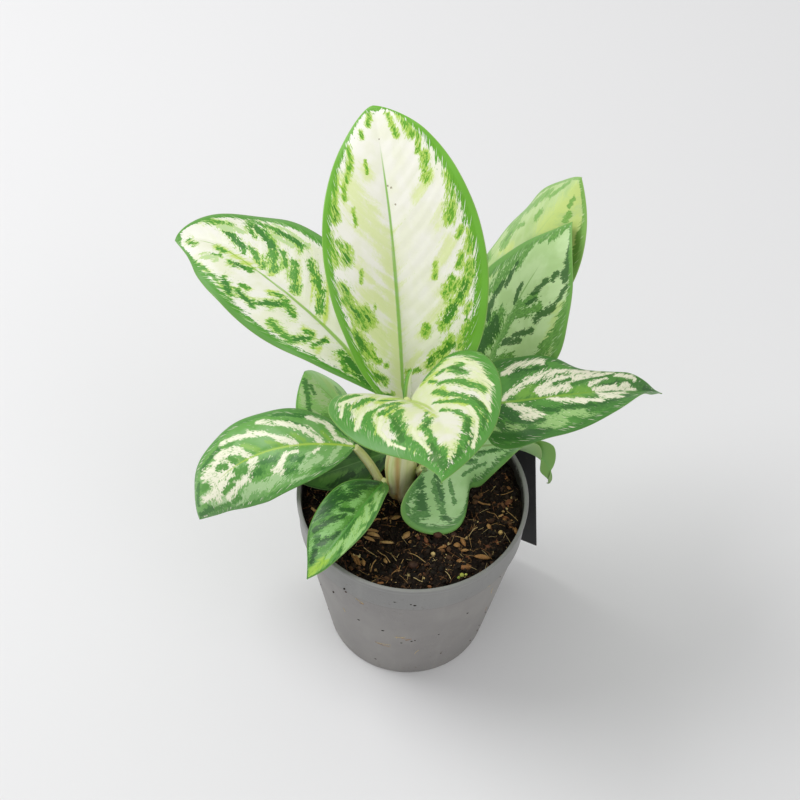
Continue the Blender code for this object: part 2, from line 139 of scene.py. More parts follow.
class Finish(Net):  # a material
    def __init__(self, name, **fixed):
        self.material = bpy.data.materials.new(name)
        self.material.use_nodes = True
        super().__init__(self.material.node_tree)
        self.shader = self.tree.nodes["Principled BSDF"]
        for key, value in fixed.items():
            self.shader.inputs[key.replace("_", " ")].default_value = value

    def attribute(self, name, out="Fac"):
        return self.add("ShaderNodeAttribute", {"attribute_name": name}, out=out)

    def uv(self, name):
        return self.add("ShaderNodeUVMap", {"uv_map": name})

    def place(self):
        return self.add("ShaderNodeTexCoord", out="Object")

    def stretched(self, vector, scale, shift=(0, 0, 0)):
        return self.add("ShaderNodeMapping", {}, {"Vector": vector, "Scale": scale, "Location": shift})

    def noise(self, vector, scale=1.0, detail=4.0, roughness=0.55, distortion=0.0):
        values = {"Vector": vector, "Scale": scale, "Detail": detail, "Roughness": roughness,
                  "Distortion": distortion}
        return self.add("ShaderNodeTexNoise", {}, values)

    def blend(self, factor, first, second, mode="MIX"):
        settings = {"data_type": "RGBA", "blend_type": mode, "clamp_factor": True}
        return self.add("ShaderNodeMix", settings, {0: factor, 6: first, 7: second}, out=2)

    def ramp(self, factor, *stops):
        return self.add("ShaderNodeValToRGB", {"stops": stops}, {0: factor})

    def spot(self, vector, centre):  # distance from a centre
        return self.add("ShaderNodeVectorMath", {"operation": "DISTANCE"}, {0: vector, 1: centre}, out=1)

    def bump(self, height, distance, strength=1.0):
        values = {"Height": height, "Distance": distance, "Strength": strength}
        return self.add("ShaderNodeBump", {}, values)

    def wear(self, **items):
        for key, item in items.items():
            self.feed(self.shader.inputs[key.replace("_", " ")], item)
        return self.material


class Rule(Net):  # a geometry tree with named numbers, run once and turned into a plain mesh
    def __init__(self, name, **numbers):
        tree = bpy.data.node_groups.new(name, "GeometryNodeTree")
        super().__init__(tree)
        tree.interface.new_socket("Geometry", in_out="INPUT", socket_type="NodeSocketGeometry")
        tree.interface.new_socket("Geometry", in_out="OUTPUT", socket_type="NodeSocketGeometry")
        self.numbers = {}
        for key, value in numbers.items():
            kind = "NodeSocketInt" if isinstance(value, int) else "NodeSocketFloat"
            socket = tree.interface.new_socket(key, in_out="INPUT", socket_type=kind)
            self.numbers[socket.identifier] = value
        self.entry = tree.nodes.new("NodeGroupInput")
        self.exit = tree.nodes.new("NodeGroupOutput")

    def given(self, name="Geometry"):
        return Wire(self, self.entry.outputs[name])

    def dice(self, low, high, shift=0):  # a random number for each point
        values = {2: low, 3: high, "Seed": self.given("Seed") + shift}
        return self.add("FunctionNodeRandomValue", {"data_type": "FLOAT"}, values, out=1)

    def keep(self, shape, name, value):
        settings = {"data_type": "FLOAT", "domain": "POINT"}
        return self.add("GeometryNodeStoreNamedAttribute", settings, {0: shape, "Name": name, "Value": value})

    def roughen(self, shape, scale, amount):
        place = self.add("GeometryNodeInputPosition")
        wobble = self.add("ShaderNodeTexNoise", {}, {"Vector": place, "Scale": scale, "Detail": 2.0}, out=1)
        wobble = self.add("ShaderNodeVectorMath", {"operation": "SUBTRACT"}, {0: wobble, 1: (0.5, 0.5, 0.5)})
        wobble = self.add("ShaderNodeVectorMath", {"operation": "SCALE"}, {0: wobble, "Scale": amount})
        return self.add("GeometryNodeSetPosition", {}, {0: shape, "Offset": wobble})

    def sown(self, shape, turn, size):  # copies of a shape on random points of the ground
        values = {"Mesh": self.given(), "Density": self.given("Density"), "Seed": self.given("Seed")}
        points = self.add("GeometryNodeDistributePointsOnFaces", {}, values)
        points = self.keep(points, "tint", self.dice(0.0, 1.0, 7))
        values = {"Points": points, "Instance": shape, "Rotation": turn, "Scale": size}
        return self.add("GeometryNodeInstanceOnPoints", {}, values)

    def grow(self, source, result, finish):
        result = self.add("GeometryNodeRealizeInstances", {}, {0: result})
        result = self.add("GeometryNodeSetMaterial", {}, {0: result, "Material": finish})
        self.tree.links.new(result.socket, self.exit.inputs[0])
        thing = bpy.data.objects.new(source.name, source)
        bpy.context.scene.collection.objects.link(thing)
        modifier = thing.modifiers.new("rule", "NODES")
        modifier.node_group = self.tree
        for key, value in self.numbers.items():
            modifier[key] = value
        graph = bpy.context.evaluated_depsgraph_get()
        mesh = bpy.data.meshes.new_from_object(thing.evaluated_get(graph), preserve_all_data_layers=True,
                                               depsgraph=graph)
        thing.modifiers.clear()
        bpy.data.objects.remove(thing)
        return mesh


def newPiece(name, points, faces, finish, replaced=(), smooth=True):
    mesh = bpy.data.meshes.new(name)
    mesh.from_pydata([tuple(p) for p in points], [], faces)
    mesh.update()
    return dress(name, mesh, finish, replaced, smooth)


def dress(name, mesh, finish, replaced=(), smooth=True):
    piece = bpy.data.objects.new(name, mesh)
    bpy.context.scene.collection.objects.link(piece)
    if finish:
        mesh.materials.clear()
        mesh.materials.append(finish)
    if smooth:
        mesh.shade_smooth()
    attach(piece, "root")
    if replaced:
        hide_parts(*replaced)
    return piece


def keepFloat(mesh, name, values):
    layer = mesh.attributes.new(name, "FLOAT", "POINT")
    layer.data.foreach_set("value", np.asarray(values, np.float32).ravel())


def keepUv(mesh, name, pairs):
    layer = mesh.uv_layers.new(name=name)
    corner = np.empty(len(mesh.loops), np.int32)
    mesh.loops.foreach_get("vertex_index", corner)
    layer.data.foreach_set("uv", np.asarray(pairs, np.float32)[corner].ravel())


# leaves: the same rule and numbers as the solids, with fine rows, veins and thin margins
leafForm = dict(rowGap=0.8, columnGap=0.95, margin=0.35, blade=0.6, rib=1.5, ribReach=1.3, veinGap=7.5,
                veinRelief=0.08, groove=0.3)
leaves = {
    "crownLeaf": dict(
        node="leaf_crown", slot="leaf_cream", base=(-6, 17, 164), heading=105, rise=76, length=152, width=81, droop=45,
        roll=-8, twist=31, fold=44, foldTip=2, camber=8, widest=0.47, point=0.67, skew=0.12),
    "leftUpperLeaf": dict(
        node="leaf_left_upper", slot="leaf_cream", base=(-19, 11, 176), heading=137, rise=48, length=142, width=65,
        droop=58, droopBend=0.5, sweep=57, sweepBend=6, roll=6, twist=-5, fold=12, foldTip=11,
        camber=26, widest=0.58, point=0.74, skew=0.05, wave=2, wavePhase=-0.55),
    "frontLeaf": dict(
        node="leaf_front", base=(-4, -2, 189), heading=-63, rise=47, length=99, width=83, droop=45,
        droopBend=1.5, sweep=-42, sweepBend=1.9, roll=-4, twist=-15, fold=44, foldTip=-19, camber=26,
        widest=0.23, point=1.16, skew=0.09, wave=-0.7, lobe=7),
    "backLeaf": dict(
        node="leaf_back", base=(8.2, 62.5, 134.8), heading=44, rise=54, length=135, width=64.5, droop=-5,
        sweep=-23, sweepBend=0.4, roll=2, fold=2, foldTip=-6, camber=33, widest=0.62, point=0.93,
        skew=0.03, wave=-0.9, wavePhase=0.4),
    "rightLeaf": dict(
        node="leaf_right", base=(31.8, 4.2, 182), heading=4, rise=7, length=108.5, width=49,
        droop=51, droopBend=1.2, sweep=33, sweepBend=0.8, roll=-14, twist=24, fold=6, foldTip=31,
        camber=14, widest=0.14, point=1.1, skew=0.05, wave=-3, wavePhase=1),
    "backRightLeaf": dict(
        node="leaf_back_right", base=(31.3, 39.4, 156.5), heading=55, rise=64, length=96, width=63.5,
        droop=22, sweep=-17, sweepBend=1.2, roll=3, twist=12, fold=8, foldTip=1, camber=29,
        widest=0.4, point=0.99, skew=0.04, wave=0.7, wavePhase=-0.2),
    "lowRightLeaf": dict(
        node="leaf_low_right", base=(5.3, -0.5, 133), heading=47, rise=-15, length=99, width=63,
        droop=121, droopBend=5.9, sweep=-100, sweepBend=1.7, roll=-75, twist=117, fold=4, foldTip=24,
        camber=22, widest=0.17, point=4.2, skew=0.2, wave=10.3, wavePhase=4.84, lobe=30, notch=0.3,
        slimLeft=0.97),
    "leftLowerLeaf": dict(
        node="leaf_left_lower", base=(-31, 14.5, 128.5), heading=180, rise=6, length=110, width=49,
        droop=90, droopBend=1.4, sweep=38, sweepBend=1.5, roll=12, twist=11, fold=15, foldTip=-4,
        camber=38, widest=0.46, point=0.8, wave=-1, wavePhase=0.7),
    "leftBackLeaf": dict(
        node="leaf_left_back", base=(-31, 42, 111), heading=154, rise=42, length=41, width=45,
        droop=8, sweep=2, roll=-12, twist=-5, fold=4, foldTip=-14, camber=27, widest=0.56,
        point=0.82, skew=-0.12),
    "lowLeftLeaf": dict(
        node="leaf_low_left", base=(-11, 29, 107.5), heading=209, rise=6, length=55, width=32,
        droop=1, sweep=4, fold=5, foldTip=4, camber=7, widest=0.52, point=0.83, skew=0.1,
        wave=-0.7),
    "frontLeftLeaf": dict(
        node="leaf_front_left", base=(-15.4, 6, 110), heading=-111, rise=32, length=74, width=35,
        droop=70, sweep=-25, sweepBend=1.5, roll=-10, twist=-14, fold=37, foldTip=14, camber=4,
        widest=0.5, point=0.95, skew=0.08, wave=-0.8, wavePhase=0.24),
}


def ribLine(leaf, u):
    t = np.linspace(0, 1, 601)

    def direction(at):
        rise = np.radians(leaf["rise"] - leaf["droop"] * at ** leaf.get("droopBend", 1))
        heading = np.radians(leaf["heading"] + leaf.get("sweep", 0) * at ** leaf.get("sweepBend", 1))
        along = np.stack([np.cos(rise) * np.cos(heading), np.cos(rise) * np.sin(heading), np.sin(rise)], 1)
        return along, np.stack([np.sin(heading), -np.cos(heading), 0 * heading], 1)

    along = direction(t)[0]
    run = np.cumsum((along[1:] + along[:-1]) / 2, 0) * leaf["length"] * mm / 600
    points = np.vstack([np.zeros(3), run]) + np.array(leaf["base"]) * mm
    line = np.stack([np.interp(u, t, points[:, k]) for k in range(3)], 1)
    along, side = direction(u)
    return line, along, side


def halfWidth(leaf, u):
    widest, point = leaf["widest"], leaf["point"]
    blunt = point * widest / (1 - widest)
    shape = (u / widest) ** blunt * ((1 - u) / (1 - widest)) ** point
    return np.maximum(shape * leaf["width"] * mm / 2, (1.5 - 1.3 * u) * mm)


def bladeGrid(leaf, u, v):
    line, along, side = ribLine(leaf, u)
    up = np.cross(side, along)
    roll = np.radians(leaf.get("roll", 0) + leaf.get("twist", 0) * u)[:, None]
    across = np.cos(roll) * side + np.sin(roll) * up
    face = -np.sin(roll) * side + np.cos(roll) * up
    right = (v > 0)[None, :]
    hand = np.sign(v)[None, :]
    out = np.abs(v)[None, :]
    rows = u[:, None]
    reach = halfWidth(leaf, u)[:, None] * out * (1 + hand * leaf.get("skew", 0))
    notch = leaf.get("notch", 0) * np.exp(-((rows - 0.31) / 0.07) ** 2)
    slim = leaf.get("slimLeft", 0) * np.clip(2.2 * (1 - rows / 0.36), 0, 1)
    reach = reach * (1 - np.where(right, notch, slim))
    fold = np.radians(leaf["fold"] + (leaf["foldTip"] - leaf["fold"]) * rows)
    angle = fold - math.radians(leaf["camber"]) * out / 2
    calm = np.minimum(1, 4 * rows) * np.minimum(1, 4 * (1 - rows))
    phase = leaf.get("wavePhase", 0) + np.where(right, 1.3, 0)
    ripple = leaf.get("wave", 0) * mm * out ** 2 * calm * np.sin(4 * math.pi * rows + phase)
    back = leaf.get("lobe", 0) * mm * out ** 1.5 * np.maximum(0, 1 - rows / 0.4) ** 2
    back = back * (1 - np.exp(-rows / 0.022)) * np.where(right, 1, 1 - slim)
    grid = line[:, None] - along[:, None] * back[..., None]
    grid = grid + across[:, None] * (hand * reach * np.cos(angle))[..., None]
    grid = grid + face[:, None] * (reach * np.sin(angle) + ripple)[..., None]
    return grid, hand * reach


def normalsOf(grid):
    normals = np.cross(np.gradient(grid, axis=1), np.gradient(grid, axis=0))
    return normals / np.maximum(np.linalg.norm(normals, axis=2, keepdims=True), 1e-12)


def leafMesh(name, leaf, marks):
    form = leafForm
    t = np.linspace(0, 1, int(leaf["length"] / form["rowGap"]))
    u = 0.45 * t + 0.55 * (1 - np.cos(math.pi * t)) / 2
    c = np.linspace(-1, 1, 2 * int(leaf["width"] / form["columnGap"] / 2) + 1)
    v = np.sign(c) * np.abs(c) ** 0.9
    top, x = bladeGrid(leaf, u, v)
    over = np.maximum(0, top[..., 2] - cadBox[1][2] + 2.1 * mm)  # stays under the top of the solid
    top[..., 2] -= over - 2 * mm * (1 - np.exp(-over / (2 * mm)))
    normals = normalsOf(top)
    out = np.abs(v)[None, :] + 0 * x
    s = u[:, None] * leaf["length"] + 0 * x
    far = np.abs(x) / mm
    ribFar = np.abs(x / mm - np.interp(s, *np.array(marks.get("ribPath", ((0, 0), (1, 0))), float).T))
    wide = halfWidth(leaf, u)[:, None] / mm
    vein = s - 0.8 * far - wide * (0.3 * out ** 2 + 0.4 * out ** 7)
    seed = sum(ord(letter) for letter in name)
    # side veins lie a little sunk, with the blade crowned between them
    calm = (1 - np.exp(-far / 3)) * (1 - out ** 6) * np.minimum(1, 6 * (1 - u))[:, None]
    relief = form["veinRelief"] * calm * np.cos(2 * math.pi * vein / form["veinGap"])
    relief = relief - form["groove"] * np.exp(-(ribFar / 1.2) ** 2) * (1 - u[:, None]) ** 0.6
    relief = relief + 0.5 * out * np.sin(s / 9 + seed) * np.sin(x / mm / 11 + seed / 3)
    relief = relief + 0.35 * out ** 4 * np.sin(s / 4.3 + seed + 2 * np.sign(x))
    relief = relief * np.minimum(1, 8 * u * (1 - u) + 0.2)[:, None]
    relief = relief * np.clip((cadBox[1][2] - top[..., 2]) / (5 * mm), 0, 1)
    top = top + normals * relief[..., None] * mm
    thick = form["blade"] + (form["margin"] - form["blade"]) * out ** 5
    thick = thick + form["rib"] * (1 - u[:, None]) ** 1.1 * np.exp(-(far / form["ribReach"]) ** 2)
    low = top - normals * thick[..., None] * mm
    rows, count = x.shape
    points = np.concatenate([top.reshape(-1, 3), low.reshape(-1, 3)])
    under = rows * count
    a = (np.arange(rows - 1)[:, None] * count + np.arange(count - 1)[None, :]).ravel()
    faces = np.stack([a, a + 1, a + count + 1, a + count], 1)
    lower = faces[:, ::-1] + under
    edge = [i * count for i in range(rows)]
    edge += [(rows - 1) * count + j for j in range(1, count)]
    edge += [i * count + count - 1 for i in range(rows - 2, -1, -1)]
    edge += [j for j in range(count - 2, 0, -1)]
    edge = np.array(edge)
    after = np.roll(edge, -1)
    rim = np.stack([edge, after, after + under, edge + under], 1)
    mesh = bpy.data.meshes.new(name)
    mesh.from_pydata(points.tolist(), [], np.concatenate([faces, lower, rim]).tolist())
    mesh.update()
    both = lambda values: np.concatenate([np.ravel(values), np.ravel(values)])
    keepUv(mesh, "flow", np.stack([both(vein) / 10, both(x / mm) / 10], 1))
    keepUv(mesh, "leafPlane", np.stack([both(s) / 10, both(x / mm) / 10], 1))
    keepFloat(mesh, "fromRib", both(ribFar))
    keepFloat(mesh, "fromEdge", both((1 - out) * wide))
    keepFloat(mesh, "along", both(u[:, None] + 0 * x))
    keepFloat(mesh, "below", np.repeat([0.0, 1.0], under))
    keepFloat(mesh, "margin", both(marginField(s, x, (1 - out) * wide, leaf["length"] - s, marks)))
    for layer in ("green", "shade", "wash", "light", "over", "patch"):
        if layer in marks:
            keepFloat(mesh, layer, both(strokeField(s, x / mm, marks[layer])))
    return mesh


# markings, laid on each blade: start and end as millimetres along and across it, and half width
leafMarks = {
    "crownLeaf": dict(
        ground="#f6f5ea", drift="#f0f1dc", lime="#deeb9c", mid="#6fb22d", dark="#418720", edge="#70b237",
        pale="#f4f4ea", rib="#7fbf35", ribWidth=1.8, ribEnd=0.9, halo=0.45, haloTone="#b6d65c", soft=0.16,
        solid=0.42, ragged=1.4, grain=(3.4, 3.2), stripes=0.9, washDepth=0.75, lean=0.3, outline=1.2, outlineTone="#b0d457",
        ribPath=((0, 0), (12, -2), (50, -1.1), (80, -0.5), (100, 0)),
        spots=((103.5, 3.5, 0.5), (111.5, 2.5, 0.6), (112.5, 1, 0.5), (135, 0, 0.4)),
        tipMargin=3.5, marginLeft=((0, 1), (20, 4), (30, 6.4), (45, 5), (70, 4.6), (100, 4.8), (130, 4), (150, 1.8)),
        marginRight=((0, 2), (40, 7.4), (60, 6.4), (80, 5.6), (100, 5.6), (125, 5), (140, 3.4), (151, 1)),
        green=((11, -11, 16, -20, 1.1), (20, -15, 30, -24, 1.7), (24, -20, 34, -28, 1.9),
               (31, -16, 36, -22, 0.9), (38, -22, 48, -29, 2.3), (28, -12, 28, -13, 0.9),
               (51, -17, 57, -20, 1.7), (50, -21, 57, -23, 1.6), (54, -24, 64, -28, 2),
               (67, -27, 70, -29, 1.7), (80, -24, 86, -24, 1.8), (86, -25, 90, -27, 1.3),
               (80, -30, 93, -30, 1.6), (100, -26, 108, -26, 1.4), (109, -25, 122, -23, 1.2),
               (109, -20, 116, -20, 0.9), (118, -18, 124, -16, 1.1), (126, -15, 134, -15, 0.9), (96, -17, 104, -17, 0.6),
               (120, -8, 126, -8, 0.5), (33, -19, 40, -20, 1.1), (56, -14, 58, -14, 0.5), (70, -19, 75, -18, 0.6),
               (86, 32, 90, 34, 0.9), (68, 19, 75, 20, 0.7), (44, 33, 48, 38, 1.1), (52, 33, 56, 36, 1),
               (137, -8, 140, -8, 0.9), (143, -4, 148, -3, 1.1), (2, 1, 19, 1.5, 0.9),
               (19, 3, 21, 8, 1), (24, 13, 30, 17, 1.5), (30, 19, 36, 23, 2),
               (41, 12, 44, 13, 1.5), (36, 25, 40, 25, 1.3), (36, 30, 46, 36, 2.2),
               (46, 22, 52, 26, 2.2), (50, 25, 57, 27, 2.1), (58, 30, 66, 34, 2.2),
               (62, 27, 67, 28, 1.7), (70, 36, 74, 37, 1.7), (60, 23, 64, 24, 1),
               (72, 31, 78, 33, 1.2), (80, 37, 88, 38, 1.5), (94, 29, 104, 31, 1.8),
               (104, 31, 114, 31, 1.6), (113, 20, 124, 21, 1.5), (126, 18, 134, 19, 1.1),
               (134, 16, 146, 12, 1.5), (135, 9, 146, 6, 0.9)),
        shade=((12, -13, 15, -18, 0.9), (22, -16, 28, -23, 1.3), (40, -24, 46, -27, 1.7),
               (52, -18, 54, -19, 1), (55, -24, 60, -27, 1), (68, -28, 69, -29, 1),
               (80, -24, 84, -24, 1), (25, 13, 29, 16, 1), (32, 20, 36, 26, 1.6), (48, 23, 55, 28, 1.6),
               (60, 31, 65, 34, 1.5), (38, 33, 58, 41, 2), (100, -26, 106, -26, 0.9)),
        wash=((10, -5, 90, -4, 6), (36, -12, 50, -18, 6), (55, -8, 64, -13, 4), (70, -14, 78, -19, 3),
              (96, -12, 116, -18, 6), (84, -6, 102, -9, 5), (118, -8, 122, -8, 3),
              (45, -25, 62, -18, 6), (24, 10, 30, 24, 4), (40, 10, 46, 14, 4), (48, 16, 56, 24, 4),
              (68, 19, 76, 21, 2.5), (60, 22, 66, 30, 4), (76, 24, 84, 28, 4), (92, 22, 100, 27, 3),
              (106, 13, 114, 22, 3), (22, 3, 30, 8, 3))),
    "leftUpperLeaf": dict(
        ground="#ebeadf", drift="#e3e5cc", lime="#bcd64f", mid="#599c32", dark="#3c7c2c", edge="#639b48",
        pale="#b9d29a", rib="#83b52f", ribWidth=1.5, ribEnd=1.0, halo=0.25, ragged=1.1, grain=(3.1, 2.8), stripes=0.7,
        outline=0.5, outlineTone="#9cc850", solid=0.7, lean=0.35,
        ribPath=((0, 0), (30, 0.3), (45, -0.6), (60, -1.9), (75, -3), (90, -3.8), (105, -3.4), (118, -2), (142, 0)),
        tipMargin=3.5, marginLeft=((0, 2), (20, 4), (40, 4.2), (60, 5), (90, 5.5), (120, 5), (140, 2)),
        marginRight=((0, 4), (30, 5), (85, 5), (110, 4.5), (130, 4), (141, 2)),
        green=((2, -2, 28, -4, 3), (20, -7, 27, -4, 2), (37, -5, 39, -12, 1.7), (43, -11, 48, -19, 2.3),
               (44, -8, 48, -10, 1.2), (48, -19, 62, -20, 2), (58, -9, 66, -7, 2.4),
               (66, -9, 76, -19, 2.3), (75, -20, 88, -20, 1.9), (70, -6, 75, -9, 1.2),
               (88, -24, 99, -19, 2.8), (84, -15, 89, -16, 1.4), (92, -6, 104, -9, 1.9),
               (112, -8, 117, -9, 1.7), (112, -4, 117, -3, 1.8), (131, -4, 134, -2, 2.2),
               (100, -22, 126, -16, 1.4), (51, 3, 56, 8, 2.3), (58, 10, 74, 18, 2.4),
               (68, 2, 76, 8, 2.5), (74, 8, 80, 12, 2), (82, 8, 88, 13, 1.9), (84, 2, 92, 8, 2.5),
               (90, 1, 104, 5, 1.9), (90, 10, 100, 16, 2.5), (100, 15, 112, 19, 2.7),
               (104, 2, 120, 9, 2.3), (105, 12, 112, 16, 1.5), (118, 12, 130, 13, 2.4),
               (84, 22, 100, 22, 2.8), (100, 22, 113, 22, 2.2), (30, 8, 44, 14, 2.6),
               (20, 4, 32, 8, 2.4), (40, 20, 58, 27, 2.4), (26, 13, 36, 18, 2)),
        shade=((6, -2, 24, -3, 2), (38, -6, 39, -10, 0.9), (44, -12, 47, -17, 1.2), (67, -10, 74, -17, 1.3),
               (90, -23, 98, -20, 1.4), (96, -7, 102, -8, 1), (94, 12, 110, 18, 1.5),
               (106, 3, 118, 8, 1.2), (86, 22, 98, 22, 1.5), (76, -20, 86, -20, 0.9)),
        wash=((48, 2, 57, 8, 3.5), (56, -9, 61, -8, 2.5), (70, -6, 75, -9, 2.4), (68, 2, 73, 6, 3.5),
              (84, 1, 90, 5, 3), (90, 1, 96, 3, 3), (44, -8, 49, -10, 2.4), (36, -12, 38, -5, 2),
              (95, -4, 118, -3, 2.4), (60, 11, 66, 15, 3)),
        light=((82, 25, 104, 25, 1), (112, 12, 122, 10, 2), (112, -11, 122, -11, 2), (88, 19, 98, 18, 1.3))),
    "frontLeaf": dict(
        ground="#e2e1d2", drift="#d9dfb2", lime="#b5cf4c", mid="#55983a", dark="#3a7426", edge="#57933f", sprinkle=0.6,
        pale="#e2e6c4", rib="#b4c86a", ribWidth=1.3, ribEnd=0.45, halo=0.4, ragged=1.1, stripes=0.7,
        outline=0.25, outlineTone="#86b845",
        marginLeft=((0, 4), (10, 5), (20, 6.5), (40, 6), (60, 5), (85, 5), (98, 3)),
        marginRight=((0, 2), (10, 4), (20, 5), (30, 6), (40, 8), (50, 8), (60, 7), (75, 5), (98, 3)),
        green=((2, -14, 4, -26, 3), (12, -17, 14, -20, 1.3), (10, -12, 17, -13, 0.8), (17, -22, 20, -27, 2.2),
               (20, -22, 28, -24, 1.9), (20, -13, 28, -18, 1.4), (28, -18, 44, -24, 1.9), (22, -8, 30, -10, 1.4),
               (30, -9, 40, -14, 1.4), (40, -14, 58, -21, 1.6), (30, -3, 40, -9, 0.9), (40, -9, 48, -15, 1.1),
               (48, -15, 58, -17, 1.3), (58, -18, 80, -11, 2.6), (42, -3, 50, -8, 1), (50, -8, 58, -11, 1.3),
               (58, -11, 70, -8, 1.9), (70, -8, 84, -5, 2.4), (38, 3, 44, 6, 0.9), (47, 5, 55, 9, 2),
               (55, 8, 60, 7, 1.2), (60, 8, 68, 6, 1.3), (66, 8, 78, 4, 1.8), (76, 3, 90, 1, 2.2),
               (22, 12, 24, 22, 1.8), (16, 12, 17, 20, 1), (26, 15, 33, 24, 1.7), (32, 14, 37, 19, 1.5),
               (37, 19, 58, 19, 2.9), (58, 18, 76, 11, 2.8), (25, 24, 32, 31, 1.9), (32, 31, 46, 32, 2.8),
               (46, 32, 60, 26, 2.6), (14, 24, 20, 33, 2), (18, 36, 30, 40, 2.4), (30, 40, 44, 38, 3),
               (8, 28, 12, 38, 1.6), (56, 24, 70, 18, 2.4)),
        shade=((82, -7, 96, -1, 4.5), (80, 7, 96, 1, 4), (70, -13, 84, -8, 3), (58, -11, 68, -9, 1.2),
               (38, 19, 58, 20, 1.5), (50, 6, 54, 8, 1.2), (44, -18, 56, -21, 1), (70, 8, 84, 4, 1.6),
               (17, -24, 25, -24, 1), (58, -19, 66, -17, 1.4)),
        wash=((4, -10, 10, -18, 2), (10, 8, 18, 22, 4), (20, 8, 24, 20, 2.5), (0, 3, 30, 4, 3),
              (30, 4, 46, 1, 1.6), (24, -12, 36, -9, 1.6), (32, -5, 50, -14, 1.2), (28, 12, 34, 22, 1.6),
              (10, -14, 16, -12, 2), (46, 4, 54, 8, 2.5), (22, -8, 30, -9, 2)),
        light=((12, -27, 18, -29, 0.9), (18, -29, 30, -31, 0.7), (30, -27, 43, -29, 0.7), (44, -22, 56, -22, 0.8),
               (50, -14, 60, -15, 1.1), (60, -15, 76, -11, 0.9), (10, 26, 14, 36, 1), (14, 36, 26, 41, 0.7),
               (22, 22, 26, 30, 1.5), (26, 30, 37, 37, 1.1), (34, 24, 44, 28, 1.2), (44, 28, 56, 25, 1),
               (56, 25, 64, 20, 0.7), (50, 14, 62, 13, 1.1), (62, 13, 74, 9, 0.8))),
    "rightLeaf": dict(
        ground="#5c9a42", drift="#4c8638", lime="#7fb548", mid="#4b8538", dark="#356b2b",
        pale="#f6f4da", rib="#86b23f", ribWidth=0.8, ribEnd=0.6, halo=0.0, ragged=1.1, stripes=0.8, sprinkle=0.7,
        marginLeft=((0, 3), (60, 2.4), (100, 2)), marginRight=((0, 3.5), (60, 3), (100, 2)),
        green=((5, -20, 30, -21, 2), (16, -13, 34, -16, 1.6), (20, 6, 34, 9, 2), (8, 3, 14, 8, 3),
               (50, 12, 76, 6, 2.6), (76, -3, 100, -1, 2.6)),
        shade=((7, 3, 14, 9, 3.4), (16, 11, 25, 14, 2), (4, 18, 26, 22, 3), (38, 8, 52, 9, 1.7),
               (28, 8, 34, 9, 1.6), (5, 8, 8, 14, 2), (56, 9, 72, 7, 1.6), (92, -1, 104, 0, 2),
               (14, -16, 30, -15, 1), (64, -3, 74, -4, 1.1)),
        wash=((16, -4, 26, -3, 3.4), (44, -3, 56, 0, 3.6), (0, -12, 6, -10, 4), (38, 1, 48, 2, 2.6),
              (24, -6, 30, -5, 2)),
        light=((10, -2, 22, -9, 1.6), (22, -9, 34, -12, 1.9), (12, -15, 20, -19, 1.5),
               (20, -19, 33, -18, 1.5), (28, -3, 34, -6, 2.3), (34, -3, 44, -4, 1.9),
               (36, -7, 52, -9, 2.7), (34, -12, 60, -13, 1.2), (52, -9, 66, -10, 2.6),
               (56, -4, 68, -8, 1.3), (70, -10, 86, -5, 1.1), (58, -1, 80, -2, 1.8), (12, 1, 18, 5, 1.7),
               (18, 5, 26, 10, 2), (18, 9, 22, 11, 1.9), (33, 1, 38, 3, 1.7), (38, 3, 48, 6, 1.9),
               (46, 4, 58, 7, 1.2), (60, 3, 72, 2, 2.8), (61, 5, 68, 6, 2), (72, -1, 84, 0, 1.5)),
        patch=((5, 13, 16, 16, 2.6), (24, 14, 34, 16, 3), (26, 18, 32, 18, 2), (34, 11, 50, 13, 2.5),
               (46, 13, 60, 10, 1.7), (22, -16, 30, -15, 1.2), (2, 8, 4, 14, 2)), patchTone="#9ec77c",
        over=((36, -6, 46, -8, 0.9), (46, -5, 60, -8, 0.8), (60, -8, 74, -9, 0.7), (62, 1, 74, 1, 0.8))),
    "backRightLeaf": dict(
        ground="#c2dea4", drift="#b2d291", lime="#bcd683", mid="#6fa64c", dark="#306226",
        pale="#c3dab0", rib="#7fae5e", ribWidth=0.9, ribEnd=0.75, halo=0.0, ragged=1.0,
        marginLeft=((0, 4), (44, 6), (60, 9), (75, 7), (90, 3)),
        marginRight=((0, 5), (30, 4), (60, 3), (90, 2)),
        green=((12, -8, 32, -6, 5), (20, -3, 38, -5, 3), (44, -17, 60, -16, 3.2), (60, -12, 73, -13, 2.2),
               (78, -9, 84, -7, 1.6), (84, -4, 94, -1, 2.6), (14, 1, 48, 2, 1.8), (42, 4, 52, 13, 2.6),
               (48, 4, 56, 8, 2.2), (30, 24, 46, 27, 2.6), (44, 28, 62, 25, 2.2), (12, 3, 22, 10, 2.5),
               (8, 10, 24, 22, 3)),
        shade=((12, -8, 30, -5, 3.6), (22, -3, 34, -6, 1.9), (30, -11, 42, -14, 1.8), (37, -13, 50, -14, 1.3),
               (50, -11, 62, -13, 1.2), (46, -1, 56, -3, 1.3), (26, 4, 32, 11, 1.8), (32, 8, 40, 15, 1.5),
               (56, 6, 66, 9, 1.3), (46, 14, 56, 19, 1.9), (56, 20, 70, 19, 1.1), (68, 11, 72, 11, 1.3),
               (72, 16, 84, 12, 2.4), (50, 6, 55, 9, 1), (82, 11, 90, 6, 1.3)),
        wash=((34, 27, 60, 22, 3), (44, -26, 60, -22, 3))),
    "backLeaf": dict(
        ground="#bbd392", drift="#aecb82", lime="#c9db80", mid="#86b65a", dark="#62943a",
        pale="#dbe8bb", rib="#b4d184", ribWidth=0.9, ribEnd=0.9, halo=0.0, ragged=0.8,
        marginLeft=((0, 2), (60, 2), (100, 3), (130, 3)), marginRight=((0, 3), (90, 3), (130, 3)),
        green=((59, -28, 61, -20, 3), (74, -18, 84, -22, 3.8), (80, -26, 94, -27, 2.6),
